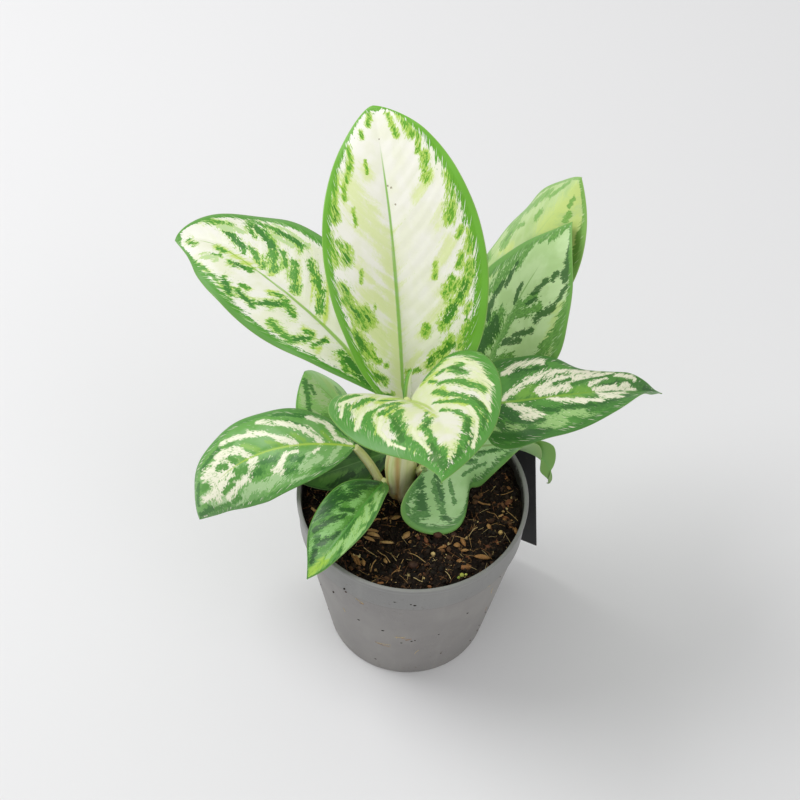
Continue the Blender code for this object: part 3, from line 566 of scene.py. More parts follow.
               (95, -23, 112, -16, 2.8), (112, -12, 126, -7, 1.7), (86, -18, 90, -15, 1.6),
               (100, -9, 103, -9, 2.3), (114, 8, 118, 8, 1.6), (120, 5, 125, 4, 1.3), (20, -6, 50, -12, 3),
               (30, 6, 52, 14, 3), (60, 20, 78, 27, 2.6)),
        shade=((59, -27, 60, -21, 1.6), (98, 28, 118, 18, 2.4), (76, -19, 80, -20, 1.2), (30, 0, 50, 2, 1.4)),
        wash=((100, 0, 130, 4, 7), (100, 24, 120, 12, 5), (70, -15, 78, -10, 3))),
    "leftLowerLeaf": dict(
        ground="#67a349", drift="#79ad63", lime="#88b746", mid="#5b9644", dark="#3e7a34",
        pale="#f2f1da", rib="#a9cb4a", ribWidth=0.7, ribEnd=0.75, halo=0.0, ragged=1.1, stripes=0.8, sprinkle=0.8,
        marginLeft=((0, 2), (40, 3), (100, 3)), marginRight=((0, 2), (40, 3.5), (100, 3)),
        green=((28, -8, 34, -7, 2.4), (40, -6, 54, -6, 2.8), (52, -9, 60, -8, 2.8), (74, -14, 80, -14, 1.8),
               (12, -13, 18, -15, 2.4), (32, -13, 38, -13, 2.4), (84, -13, 96, -7, 1.6)),
        shade=((28, -8, 33, -8, 1.4), (42, -6, 50, -5, 1.4), (53, -9, 58, -9, 1.6), (12, -13, 16, -14, 1.4),
               (33, -13, 37, -13, 1.2), (5, 6, 14, 13, 1.3), (24, 16, 40, 20, 1.5), (90, 8, 100, 3, 1.6),
               (70, 14, 84, 12, 1.3), (96, -5, 106, -1, 1.8), (24, 8, 34, 14, 1), (30, -22, 60, -23, 1.4)),
        wash=((12, 1, 17, 6, 1.6), (10, 0, 60, 0, 1.3), (50, 2, 58, 8, 1.6), (38, 2, 45, 5, 1.5),
              (26, 2, 32, 6, 1.6), (62, 2, 68, 4, 1.6), (64, -5, 70, -3, 1.6)),
        light=((2, 1, 10, 3, 1.3), (10, 3, 14, 10, 1.5), (14, 11, 24, 15, 1.2), (18, 1, 24, 7, 1.8),
               (24, 7, 34, 12, 1.6), (34, 12, 48, 18, 1.4), (31, 1, 38, 5, 1.9), (38, 5, 46, 10, 1.3),
               (46, 10, 54, 13, 1.9), (54, 13, 68, 16, 1.5), (56, 1, 60, 6, 1.4), (61, 7, 72, 10, 2.8),
               (68, 1, 80, 2, 5), (74, 7, 84, 7, 3.2), (68, -4, 86, -4, 4.4), (62, -9, 80, -10, 2.1),
               (56, -3, 62, -8, 2.6), (52, -2, 58, -4, 1.7), (40, -12, 44, -11, 2.1), (36, -5, 40, -9, 1.9),
               (30, -4, 37, -4, 1), (19, -3, 21, -5, 1.1), (86, -3, 95, 1, 1.7)),
        over=((60, -5, 66, -3, 2.3), (66, -6, 72, -5, 1.2), (72, -7, 80, -7, 1.5), (64, 2, 66, 5, 1.6),
              (70, 3, 75, 5, 1.6), (87, 3, 90, 4, 1.9), (62, 12, 66, 13, 1)),
        patch=((18, -8, 26, -13, 1.8), (24, -6, 30, -14, 1.7), (8, -2, 14, -12, 1.6), (38, -14, 50, -17, 3.2),
               (50, -17, 62, -15, 2.3), (60, -14, 80, -17, 2.1), (80, -12, 92, -6, 3.2),
               (20, -18, 34, -19, 1.5), (88, 0, 98, 2, 1.8)), patchTone="#a9cb93"),
    "leftBackLeaf": dict(
        ground="#98d46f", drift="#a6da83", lime="#a9d36a", mid="#7fbd5c", dark="#4a8b3e", grain=(4.6, 2.6),
        pale="#aecf88", rib="#8fbb62", ribWidth=0.7, ribEnd=0.8, halo=0.0, ragged=1.2,
        marginLeft=((0, 1.5), (40, 1.5)), marginRight=((0, 1.5), (40, 1.5)),
        green=((8, -8, 18, -12, 2), (10, 6, 20, 10, 2)), shade=((25, -17, 38, -4, 1.4), (30, -6, 34, -4, 1)),
        wash=((10, 8, 30, 9, 5),),
        patch=((24, -6, 33, -3, 3.5), (31, -14, 36, -9, 2), (20, -14, 27, -15, 1.5), (33, -2, 37, -5, 1.6)),
        patchTone="#c0dea0"),
    "lowLeftLeaf": dict(
        ground="#42702f", drift="#4e7f39", lime="#6a9a48", mid="#3b662c", dark="#264a20", grain=(4.6, 2.6),
        pale="#7aa559", rib="#6a9650", ribWidth=0.7, ribEnd=0.8, halo=0.0, ragged=1.2,
        marginLeft=((0, 1.5), (55, 1.5)), marginRight=((0, 1.5), (55, 1.5)),
        green=((10, -6, 24, -10, 3), (14, 4, 30, 9, 3)), shade=((6, -4, 16, -8, 2), (28, -6, 42, -9, 2)),
        wash=((30, -4, 44, -3, 2.4),),
        patch=((20, -4, 26, -6, 1.3), (36, -6, 44, -5, 1.4), (30, 5, 40, 8, 1.5)), patchTone="#5d8f42"),
    "frontLeftLeaf": dict(
        ground="#508a33", drift="#5e9641", lime="#a0c642", mid="#3d772b", dark="#1f501a",
        pale="#96c17b", rib="#4f9433", ribWidth=1, ribEnd=0.85, halo=0.0, ragged=1.15, grain=(4.4, 3.8), sprinkle=0.8,
        marginLeft=((0, 3), (20, 3.2), (50, 3), (70, 1)), marginRight=((0, 1.5), (40, 1.4), (72, 1)),
        green=((8, -2, 20, -6, 1.6), (20, -2, 34, -10, 1.8), (36, -1, 46, -4, 2.6), (44, -7, 54, -9, 1.5),
               (10, -8, 20, -11, 2), (4, 3, 20, 9, 3.4), (26, 12, 44, 14, 2.4), (54, 9, 64, 5, 1.6)),
        shade=((4, 3, 15, 10, 2.8), (14, 5, 20, 9, 1.8), (22, 6, 28, 10, 1.7), (28, 12, 40, 15, 1.9),
               (31, 3, 34, 8, 1.3), (36, 5, 42, 9, 1.6), (46, 2, 50, 3, 1.4), (52, 5, 56, 6, 1.6),
               (44, 10, 52, 13, 1.4), (60, 6, 66, 4, 1.3), (24, 15, 48, 17, 1.4), (12, -12, 22, -14, 1)),
        wash=((58, -4, 72, -1, 3.4), (60, 0, 70, 1, 2)),
        light=((14, -2, 24, -8, 1.7), (26, -3, 36, -11, 2), (36, -6, 50, -10, 2.6), (50, -4, 58, -3, 2.4),
               (40, -13, 54, -12, 1.1), (18, -8, 30, -13, 1.2)),
        patch=((20, 4, 28, 5, 2.1), (22, 12, 28, 12, 2), (42, 6, 60, 8, 3), (32, 11, 38, 12, 1.8), (34, 3, 37, 9, 1.4)),
        patchTone="#82b667"),
    "lowRightLeaf": dict(
        ground="#b4dc9c", drift="#a2d088", lime="#a9c25a", mid="#629a50", dark="#3f7237", edge="#70a855",
        pale="#bcd5a6", rib="#8fb06a", ribWidth=1, ribEnd=0.7, halo=0.0, ragged=1.0, grain=(3.6, 3.2), sprinkle=0.7,
        stripes=0.7, marginLeft=((0, 3), (60, 3), (90, 1)),
        marginRight=((0, 2.5), (10, 3.5), (18, 4.5), (30, 5.5), (45, 5), (60, 3), (90, 1)),
        green=((3, 8, 9, 26, 1.3), (1, 4, 3, 12, 1), (8, 8, 13, 24, 1), (12, 12, 14, 30, 0.9),
               (5, 14, 8, 30, 0.8), (16, 12, 18, 24, 0.8), (20, 6, 34, 7, 1.2), (34, 4, 50, 3, 1.2),
               (24, 12, 40, 9, 0.9), (10, -4, 24, -8, 2.4), (26, -4, 40, -7, 2.4), (58, 1, 98, 0, 4)),
        shade=((82, 0, 98, 0, 1.5), (4, 10, 8, 22, 0.9), (10, 10, 13, 20, 0.8), (2, 5, 4, 10, 0.8), (22, 5, 32, 6, 0.7),
               (36, 3, 48, 3, 0.7), (14, 28, 17, 33, 0.7), (8, 6, 12, 12, 0.7))),
}


def strokeField(s, x, strokes):  # 1 on a stroke's line, 0 at its half width, down to -2 away from it
    field = np.full(s.shape, -2.0)
    for s0, x0, s1, x1, half in strokes:
        ds, dx = s1 - s0, x1 - x0
        t = np.clip(((s - s0) * ds + (x - x0) * dx) / (ds * ds + dx * dx + 1e-6), 0, 1)
        gap = np.hypot(s - s0 - t * ds, x - x0 - t * dx)
        field = np.maximum(field, 1 - gap / half)
    return field


def marginField(s, x, fromEdge, fromTip, marks):
    left = np.interp(s, *np.array(marks["marginLeft"], float).T)
    right = np.interp(s, *np.array(marks["marginRight"], float).T)
    field = np.maximum(1 - fromEdge / np.where(x > 0, right, left), 1 - fromTip / marks.get("tipMargin", 0.5))
    return np.clip(field, -1, 1)


def leafFinish(name, marks):
    finish = Finish(name + "Finish", Specular_IOR_Level=0.35)
    seed = sum(ord(letter) for letter in name) % 23
    flow = finish.uv("flow")
    plane = finish.uv("leafPlane")
    long, short = marks.get("grain", (3.3, 2.9))
    jag = finish.noise(finish.stretched(flow, (long, short, 1), (seed, 0, 0)), 1, 3, 0.6, 0.4)
    speck = finish.noise(finish.stretched(flow, (3 * long, 3.2 * short, 1), (0, seed, 0)), 1, 4, 0.65, 0.3)
    soft = finish.noise(finish.stretched(plane, (0.7, 0.9, 1), (seed, seed, 0)), 1, 3, 0.5)
    veins = finish.noise(finish.stretched(flow, (2.6, 0.25, 1), (0, 0, seed)), 1, 2, 0.4)
    stripe = finish.noise(finish.stretched(flow, (5.5, 0.6, 1), (seed, 7, 0)), 1, 2, 0.5, 0.3)
    ragged = (jag - 0.5) * 3.0 + (speck - 0.5) * 3.2 + (stripe - 0.5) * marks.get("stripes", 0.7)
    ragged = (ragged * marks["ragged"]).least(1.2).most(-1.5)
    colour = finish.blend(soft.step(0.4, 0.62), tone(marks["ground"]), tone(marks["drift"]))
    # stripes along the side veins in the drift tone: partly the blade's own vein colour, partly painted shading of the
    # quilting between the veins
    colour = finish.blend(veins.step(0.45, 0.75) * 0.35, colour, tone(marks["drift"]))
    if "wash" in marks:
        wash = finish.attribute("wash") + (speck - 0.5) * 2.0 + (veins - 0.5) * 2.4 + (stripe - 0.5) * 1.2
        colour = finish.blend(wash.step(-0.3, 0.9) * marks.get("washDepth", 0.85), colour, tone(marks["lime"]))
    if "patch" in marks:
        patch = finish.attribute("patch").least(0.6) + ragged
        colour = finish.blend(patch.step(-0.06, 0.1), colour, tone(marks["patchTone"]))
    green = finish.attribute("green")
    if marks["halo"]:
        halo = green * 0.4 + (veins - 0.5) * 1.8 + (speck - 0.5) * 2.4 + marks["halo"]
        colour = finish.blend(halo.step(0.0, 0.9) * 0.9, colour, tone(marks.get("haloTone", marks["lime"])))
        flecks = finish.noise(finish.stretched(flow, (3.5 * long, 3 * short, 1), (seed, 3, 0)), 1, 2, 0.5)
        flecks = flecks.step(0.66, 0.7) * green.step(-1.6, -0.4)
        colour = finish.blend(flecks * 0.7, colour, tone(marks["mid"]))
    body = finish.blend(speck.step(0.42, 0.6) * 0.45, tone(marks["mid"]), tone(marks["dark"]))
    edge = marks.get("soft", 0.08)
    inked = green.least(marks.get("solid", 0.62)) + ragged - marks.get("lean", 0.0)
    if "outline" in marks:
        ring = (inked + (soft - 0.5) * 2.4 + marks["outline"]).step(-0.3, 0.75) * green.step(-1.8, -1.1)
        colour = finish.blend(ring * 0.95, colour, tone(marks["outlineTone"]))
    colour = finish.blend(inked.step(-edge, edge), colour, body)
    shade = finish.attribute("shade").least(0.6) + ragged * 0.9
    colour = finish.blend(shade.step(-0.08, 0.12) * 0.92, colour, tone(marks["dark"]))
    margin = finish.attribute("margin")
    # the outer part of the margin takes the edge tone: the margin's own green, partly lightened and greyed as a painted
    # sheen
    band = finish.blend(margin.step(0.4, 0.6), body, tone(marks.get("edge", marks["mid"])))
    colour = finish.blend((margin + ragged * 0.4 * (1 - margin)).step(-0.04, 0.06), colour, band)
    fleck = finish.noise(finish.stretched(flow, (8, 1.6, 1), (seed, seed, 0)), 1, 2, 0.5)
    flecks = fleck.step(0.6, 0.64) * margin.step(-0.1, 0.1) * (1 - margin.step(0.35, 0.55))
    colour = finish.blend(flecks * marks.get("flecks", 0.8), colour, tone(marks["pale"]))
    if "sprinkle" in marks:
        dots = finish.noise(finish.stretched(flow, (11, 4, 1), (seed, 11, 0)), 1, 2, 0.5)
        colour = finish.blend(dots.step(0.67, 0.71) * marks["sprinkle"], colour, tone(marks["pale"]))
    if "light" in marks:
        light = finish.attribute("light").least(0.6) + ragged * 0.9
        colour = finish.blend(light.step(-0.06, 0.1), colour, tone(marks["pale"]))
        colour = finish.blend((light.step(-0.06, 0.2) * (1 - light.step(0.2, 0.5))) * 0.4, colour, tone(marks["lime"]))
    if "over" in marks:
        over = finish.attribute("over").least(0.6) + ragged
        colour = finish.blend(over.step(-0.06, 0.1), colour, tone(marks["mid"]))
    along = finish.attribute("along")
    ribEdge = finish.attribute("fromRib") / (marks["ribWidth"] * (1.05 - along))
    rib = (1 - ribEdge.step(0.5, 1.1)) * (1 - along.step(marks["ribEnd"] - 0.15, marks["ribEnd"]))
    colour = finish.blend(rib * 0.85, colour, tone(marks["rib"]))
    rim = 1 - finish.attribute("fromEdge").step(0.1, 0.6)
    colour = finish.blend(rim * 0.2, colour, tone(marks["lime"]))
    for spotS, spotX, radius in marks.get("spots", ()):
        gap = finish.spot(plane, (spotS / 10, spotX / 10, 0))
        colour = finish.blend((1 - (gap + (speck - 0.5) * 0.1).step(radius / 20, radius / 8)) * 0.8, colour,
                              tone("#857a5c"))
    below = finish.attribute("below")
    colour = finish.blend(below * 0.4, colour, tone("#b7cd98"))
    grain = finish.noise(plane, 28, 3, 0.6)
    fine = finish.noise(finish.stretched(flow, (9, 1.2, 1)), 1, 2, 0.5)
    height = grain * 0.35 + fine * 0.65
    gloss = 0.36 + (soft - 0.5) * 0.16 + below * 0.12
    return finish.wear(Base_Color=colour, Roughness=gloss, Normal=finish.bump(height, 0.00012, 0.7))


for name, leaf in leaves.items():
    marks = leafMarks[name]
    dress(name, leafMesh(name, leaf, marks), leafFinish(name, marks), (leaf["node"],))
print("leaves made")


# shoots: stems and the stalks that carry the leaves
shoots = {
    "mainShoot": dict(
        node="shoot_main",
        stem=((-7, 6.5, 96, 6.2), (-7, 6.5, 103, 6.5), (-7, 7, 118, 7.3), (-6.5, 7.5, 132, 7.2),
              (-6, 8, 150, 6.4), (-6, 8, 164, 4.2)),
        stalks=dict(crownLeaf=(148, (), 5), leftUpperLeaf=(148, (), 5),
                    frontLeaf=(148, ((-5.8, 3.5, 173),), 4),
                    rightLeaf=(146, ((4, 7, 169), (18, 4.5, 178)), 4),
                    backLeaf=(130, ((-3, 24, 135), (3, 44, 133)), 4),
                    leftBackLeaf=(122, ((-13, 21, 128), (-24, 36.5, 112.5)), 1.5))),
    "rightShoot": dict(
        node="shoot_right",
        stem=((6, 18.5, 96, 4.8), (6.5, 18.5, 104, 5), (8.5, 19.5, 116, 4.8), (12, 22, 127, 3)),
        stalks=dict(backRightLeaf=(118, ((22, 33, 137),), 4), lowLeftLeaf=(108, ((1, 27, 111),), 3),
                    lowRightLeaf=(106, ((4.5, 12, 112), (3.6, 7.5, 118), (3.2, 4, 125), (4.6, 0.6, 132)), 0))),
    "leftShoot": dict(
        node="shoot_left",
        stem=((-16.5, 10.5, 96, 3), (-16.5, 10.5, 100, 3), (-16.3, 10, 103, 2.6),
              (-17.2, 9.9, 106, 2.2)),
        stalks=dict(leftLowerLeaf=(102, ((-18.6, 10.2, 108), (-22.4, 12.7, 114.5), (-27, 14.5, 121.5),
                                        (-31, 14.5, 128.2)), 0),
                    frontLeftLeaf=(104, (), 2))),
}


def smoothPath(path, steps=8):  # Catmull-Rom through x, y, z, radius
    p = np.array(path, float)
    p = np.vstack([2 * p[0] - p[1], p, 2 * p[-1] - p[-2]])
    fine = []
    for a, b, c, d in zip(p, p[1:], p[2:], p[3:]):
        for t in np.arange(steps) / steps:
            fine.append(0.5 * (2 * b + (c - a) * t + (2 * a - 5 * b + 4 * c - d) * t ** 2
                               + (3 * b - a - 3 * c + d) * t ** 3))
    return np.array(fine + [p[-2]])


def sweptTube(path, sides=20, grooved=0.0, overlap=0.0, seam=4.57, steps=8):
    fine = smoothPath(path, steps)
    spots = fine[:, :3] * mm
    ahead = np.gradient(spots, axis=0)
    ahead /= np.linalg.norm(ahead, axis=1, keepdims=True)
    side = np.cross(ahead, (0.3, 1, 0.2))
    side /= np.linalg.norm(side, axis=1, keepdims=True)
    up = np.cross(side, ahead)
    turn = np.linspace(0, 2 * math.pi, sides, endpoint=False)
    wrap = (turn - seam) / (2 * math.pi) % 1
    bulge = 1 - grooved * np.exp(-((turn - math.pi / 2) / 0.5) ** 2) + overlap * (wrap - 0.5)
    radius = fine[:, 3, None] * mm * bulge[None, :]
    ring = side[:, None] * (radius * np.cos(turn))[..., None] + up[:, None] * (radius * np.sin(turn))[..., None]
    points = (spots[:, None] + ring).reshape(-1, 3)
    faces = []
    for i in range(len(fine) - 1):
        for j in range(sides):
            k = (j + 1) % sides
            faces.append((i * sides + j, i * sides + k, (i + 1) * sides + k, (i + 1) * sides + j))
    last = (len(fine) - 1) * sides
    faces.append(tuple(range(sides))[::-1])
    faces.append(tuple(range(last, last + sides)))
    length = np.concatenate([[0], np.cumsum(np.linalg.norm(np.diff(fine[:, :3], axis=0), axis=1))])
    count = len(fine)
    grain = np.stack([np.tile(np.cos(turn), count), np.tile(np.sin(turn), count), np.repeat(length, sides) / 10], 1)
    return points, faces, grain, np.tile(wrap, count)


def stalkPath(stem, leaf, start, byWay, lead):
    table = np.array(stem, float)
    x, y, radius = [float(np.interp(start, table[:, 2], table[:, k])) for k in (0, 1, 3)]
    line, along, _ = ribLine(leaf, np.array([0.0, 0.1]))
    path = [(x, y, start, min(radius * 0.8, 3))]
    path += [(*point, 2.5 - 0.3 * i / len(byWay)) for i, point in enumerate(byWay)]
    if lead:
        end = line[0] / mm + along[0] * 0.6
        path += [(*(end - along[0] * (lead + 0.6)), 2.05), (*end, 1.7)]
    else:
        path[-1] = (*byWay[-1], 1.9)
    return path


def shootFinish():
    finish = Finish("stemFlesh", Roughness=0.4, Specular_IOR_Level=0.35)
    grain = finish.attribute("grain", "Vector")
    height = finish.split(finish.place(), 2)
    wrap = finish.attribute("wrap")
    streak = finish.noise(finish.stretched(grain, (3, 3, 0.25)), 1, 4, 0.6)
    fine = finish.noise(finish.stretched(grain, (9, 9, 0.5)), 1, 3, 0.6)
    blotch = finish.noise(finish.stretched(grain, (1, 1, 0.6)), 1, 2, 0.5)
    colour = finish.blend(streak.step(0.38, 0.62), tone("#efecba"), tone("#d8dd98"))
    colour = finish.blend(height.step(0.108, 0.15) * blotch.step(0.35, 0.6) * 0.5, colour, tone("#b9cc6e"))
    tan = fine.step(0.5, 0.68) * (1 - height.step(0.1, 0.135)) * 0.5
    colour = finish.blend(tan, colour, tone("#cfa869"))
    seam = (1 - wrap.step(0.0, 0.1)) * (0.45 + 0.55 * (1 - height.step(0.105, 0.15)))
    colour = finish.blend(seam * 0.9, colour, tone("#bd9149"))
    colour = finish.blend(wrap.step(0.9, 0.99) * 0.5, colour, tone("#f1efd6"))
    aside = finish.split(finish.place(), 0) + 0.0078 + (height - 0.11) * 0.03
    line = 1 - aside.maths("ABSOLUTE", aside).step(0.0, 0.0022 + (fine - 0.5) * 0.0016)
    colour = finish.blend(line * (1 - height.step(0.13, 0.17)) * 0.75, colour, tone("#c69a55"))
    foot = (1 - (height + (fine - 0.5) * 0.006).step(0.1025, 0.108)) * 0.75
    colour = finish.blend(foot, colour, tone("#86683d"))
    bump = finish.bump(streak * 0.6 + fine * 0.4, 0.0003, 0.6)
    return finish.wear(Base_Color=colour, Normal=bump)


def tubesPiece(name, tubes, finish, replaced):
    points, faces, grain, wrap = [], [], [], []
    for tubePoints, tubeFaces, tubeGrain, tubeWrap in tubes:
        faces.extend(tuple(len(points) + k for k in face) for face in tubeFaces)
        points.extend(tubePoints)
        grain.append(tubeGrain)
        wrap.append(tubeWrap)
    piece = newPiece(name, points, faces, finish, replaced)
    layer = piece.data.attributes.new("grain", "FLOAT_VECTOR", "POINT")
    layer.data.foreach_set("vector", np.concatenate(grain).astype(np.float32).ravel())
    keepFloat(piece.data, "wrap", np.concatenate(wrap))
    return piece


# pointed ends of the sheaths, each lying on a stem or stalk
sheaths = {
    "mainShoot": (((-7.4, 6.6, 108, 6.4), (-9.6, 4.7, 128, 5.6), (-8.5, 4.8, 148, 3.6), (-6.4, 4.5, 159, 0.5)),
                  ((-6.4, 7, 108, 6.4), (-3, 8.2, 132, 5), (-1.5, 8, 150, 3.4), (-1, 8.2, 160, 0.5))),
    "rightShoot": (((9.5, 18, 108, 3.6), (10.8, 19, 116, 3.4), (12, 20.5, 124, 0.5)),),
    "leftShoot": (((-16.2, 9.6, 101, 2.6), (-18.2, 9.6, 107, 2.7), (-20.6, 11, 113, 1.9), (-22, 11.6, 118, 0.3)),),
}
stemFinish = shootFinish()
for name, plan in shoots.items():
    tubes = [sweptTube(plan["stem"], 48, overlap=0.14)]
    for leafName, route in plan["stalks"].items():
        tubes.append(sweptTube(stalkPath(plan["stem"], leaves[leafName], *route), 20, 0.3))
    for path in sheaths[name]:
        tubes.append(sweptTube(path, 24, overlap=0.1, seam=5.2))
    tubesPiece(name, tubes, stemFinish, (plan["node"],))
print("shoots made")


# the youngest leaf, still rolled, standing in the crown
rolledPath = ((-5.8, 6.1, 176, 1.3), (-5.8, 6.4, 180, 1.8), (-5.6, 6.9, 187, 2), (-5.3, 7.5, 193, 1.6),
              (-4.6, 8.1, 198, 1), (-3.4, 8.4, 200.5, 0.3))


def rolledFinish():
    finish = Finish("rolledLeaf", Roughness=0.4, Specular_IOR_Level=0.35)
    grain = finish.attribute("grain", "Vector")
    wrap = finish.attribute("wrap")
    streak = finish.noise(finish.stretched(grain, (3, 3, 0.6)), 1, 3, 0.6)
    colour = finish.blend(streak.step(0.4, 0.62), tone("#79b84c"), tone("#4f9336"))
    colour = finish.blend(wrap.step(0.34, 0.46) + (streak - 0.5) * 0.5, colour, tone("#eef0dc"))
    colour = finish.blend(wrap.step(0.88, 0.94), colour, tone("#8cc055"))
    return finish.wear(Base_Color=colour, Normal=finish.bump(streak, 0.0002, 0.5))


tubesPiece("newLeaf", [sweptTube(rolledPath, 40, overlap=0.5, seam=4.9)], rolledFinish(), ("new_leaf",))
print("new leaf made")


# pot: one profile turned about the axis, with drain holes round the foot
potShape = dict(height=110, lip=60, foot=43, wall=1.6, band=19.5, step=0.9, lift=2.4, ring=4, pad=12,
                segments=160, drains=8, drainRadius=4.0, drainCircle=27.0)


def wallRadius(z):
    p = potShape
    top = p["lip"] - 1.3 - p["step"]
    return p["foot"] + (top - p["foot"]) * z / (p["height"] - p["band"])


def potProfile():  # radius and height, from the middle of the inner floor round to the middle of the foot
    p = potShape
    stepZ = p["height"] - p["band"]
    floor = p["lift"] + p["wall"]
    lip, high, foot, lift = p["lip"], p["height"], p["foot"], p["lift"]
    inside = [(0, floor), (12, floor), (wallRadius(floor) - p["wall"] - 1, floor),
              (wallRadius(floor) - p["wall"], floor + 1), (wallRadius(stepZ) - p["wall"], stepZ)]
    edge = [(lip - 2.2, high - 0.5), (lip - 2.0, high - 0.15), (lip - 1.7, high), (lip - 0.5, high),
            (lip - 0.15, high - 0.15), (lip, high - 0.5), (lip - 0.1, high - 2.3), (lip - 0.3, high - 2.9),
            (lip - 0.7, high - 3.2)]
    outside = [(lip - 1.25, stepZ + 0.5), (lip - 1.4, stepZ + 0.15), (wallRadius(stepZ) + 0.1, stepZ),
               (wallRadius(stepZ), stepZ - 0.3), (foot + 0.35, 1.4), (foot + 0.1, 0.5), (foot - 0.6, 0),
               (foot - p["ring"], 0), (foot - p["ring"] - 1, lift), (p["pad"] + 1, lift), (p["pad"], 0), (0, 0)]
    return inside + edge + outside


def potFinish():
    finish = Finish("potPlastic", Specular_IOR_Level=0.4)
    place = finish.place()
    height = finish.split(place, 2)
    cloud = finish.noise(place, 22, 4, 0.55)
    haze = finish.noise(finish.stretched(place, (1, 1, 0.12)), 130, 3, 0.6)
    dust = finish.noise(place, 420, 5, 0.7)
    scuff = finish.noise(finish.stretched(place, (1, 1, 3.2)), 150, 3, 0.6, 1.4)
    colour = finish.blend(cloud.step(0.35, 0.65), tone("#8e8b88"), tone("#868381"))
    colour = finish.blend(haze.step(0.5, 0.72) * 0.22, colour, tone("#a19e9a"))
    colour = finish.blend(height.step(0.0905, 0.0925) * 0.35, colour, tone("#8a8f8f"))
    # painted shade: a thin dark line just under the step of the band
    stepShadow = height.step(0.0895, 0.0904) * (1 - height.step(0.0908, 0.0916))
    colour = finish.blend(stepShadow * 0.5, colour, tone("#6d6a67"))
    line = (1 - (scuff - 0.5).maths("ABSOLUTE", scuff - 0.5).step(0.001, 0.006)) * cloud.step(0.5, 0.6)
    colour = finish.blend(line * 0.35, colour, tone("#b3b0aa"))
    soiled = dust.step(0.6, 0.7) * (cloud.step(0.5, 0.62) * 0.4 + (1 - height.step(0.004, 0.02)) * 0.6)
    colour = finish.blend(soiled, colour, tone("#5d5145"))
    inner = finish.attribute("inner")
    # the inside of the wall, from the soil up to a ragged line just under the lip, is painted almost black
    innerDarkening = inner * (1 - (height + (dust - 0.5) * 0.01).step(0.1065, 0.1095))
    colour = finish.blend(innerDarkening * 0.92, colour, tone("#1d1a16"))
    gloss = 0.5 + (cloud - 0.5) * 0.2 + soiled * 0.3
    return finish.wear(Base_Color=colour, Roughness=gloss, Normal=finish.bump(dust + haze, 0.0001, 0.35))


def makePot():
    p = potShape
    profile = potProfile()
    line = bpy.data.meshes.new("potLine")
    line.from_pydata([(r * mm, 0, z * mm) for r, z in profile],
                     [(i, i + 1) for i in range(len(profile) - 1)], [])
    rule = Rule("turnedPot", Segments=p["segments"], Rows=len(profile), Drains=p["drains"],
                DrainRadius=p["drainRadius"] * mm, DrainCircle=p["drainCircle"] * mm)
    rows, segments = rule.given("Rows"), rule.given("Segments")
    grid = rule.add("GeometryNodeMeshGrid", {}, {"Vertices X": segments + 1, "Vertices Y": rows})
    index = rule.add("GeometryNodeInputIndex")
    column = (index / rows + 0.0001).maths("FLOOR", index / rows + 0.0001)
    settings = {"data_type": "FLOAT_VECTOR", "domain": "POINT"}
    values = {"Geometry": rule.given(), "Value": rule.add("GeometryNodeInputPosition"),
              "Index": index - column * rows}
    spot = rule.add("GeometryNodeSampleIndex", settings, values)
    angle = column * (2 * math.pi) / segments
    radius = rule.split(spot, 0)
    place = rule.join(radius * angle.maths("COSINE", angle), radius * angle.maths("SINE", angle),
                      rule.split(spot, 2))
    shell = rule.add("GeometryNodeSetPosition", {}, {0: grid, "Position": place})
    shell = rule.add("GeometryNodeMergeByDistance", {}, {0: shell, "Distance": 0.00001})
    ring = rule.add("GeometryNodeMeshCircle", {}, {"Vertices": rule.given("Drains"),
                                                   "Radius": rule.given("DrainCircle")})
    drill = rule.add("GeometryNodeMeshCylinder", {}, {"Vertices": 24, "Radius": rule.given("DrainRadius"),
                                                      "Depth": 0.02})
    drills = rule.add("GeometryNodeInstanceOnPoints", {}, {"Points": ring, "Instance": drill})
    drills = rule.add("GeometryNodeRealizeInstances", {}, {0: drills})
    shell = rule.add("GeometryNodeFlipFaces", {}, {0: shell})
    pot = rule.add("GeometryNodeMeshBoolean", {"operation": "DIFFERENCE", "solver": "EXACT"},
                   {"Mesh 1": shell, "Mesh 2": drills})
    mesh = rule.grow(line, pot, potFinish())
    mesh.name = "nurseryPot"
    spots = np.empty(len(mesh.vertices) * 3, np.float32)
    mesh.vertices.foreach_get("co", spots)
    spots = spots.reshape(-1, 3)
    around = np.hypot(spots[:, 0], spots[:, 1]) / mm
    wall = np.where(spots[:, 2] / mm > p["height"] - p["band"] + 0.3, p["lip"] - 1, wallRadius(spots[:, 2] / mm))
    keepFloat(mesh, "inner", np.clip((wall - 0.8 - around) / 0.4, 0, 1))
    piece = dress("nurseryPot", mesh, None, ("pot",))
    mesh.set_sharp_from_angle(angle=math.radians(35))
    return piece


pot = makePot()
print("pot made", len(pot.data.polygons))


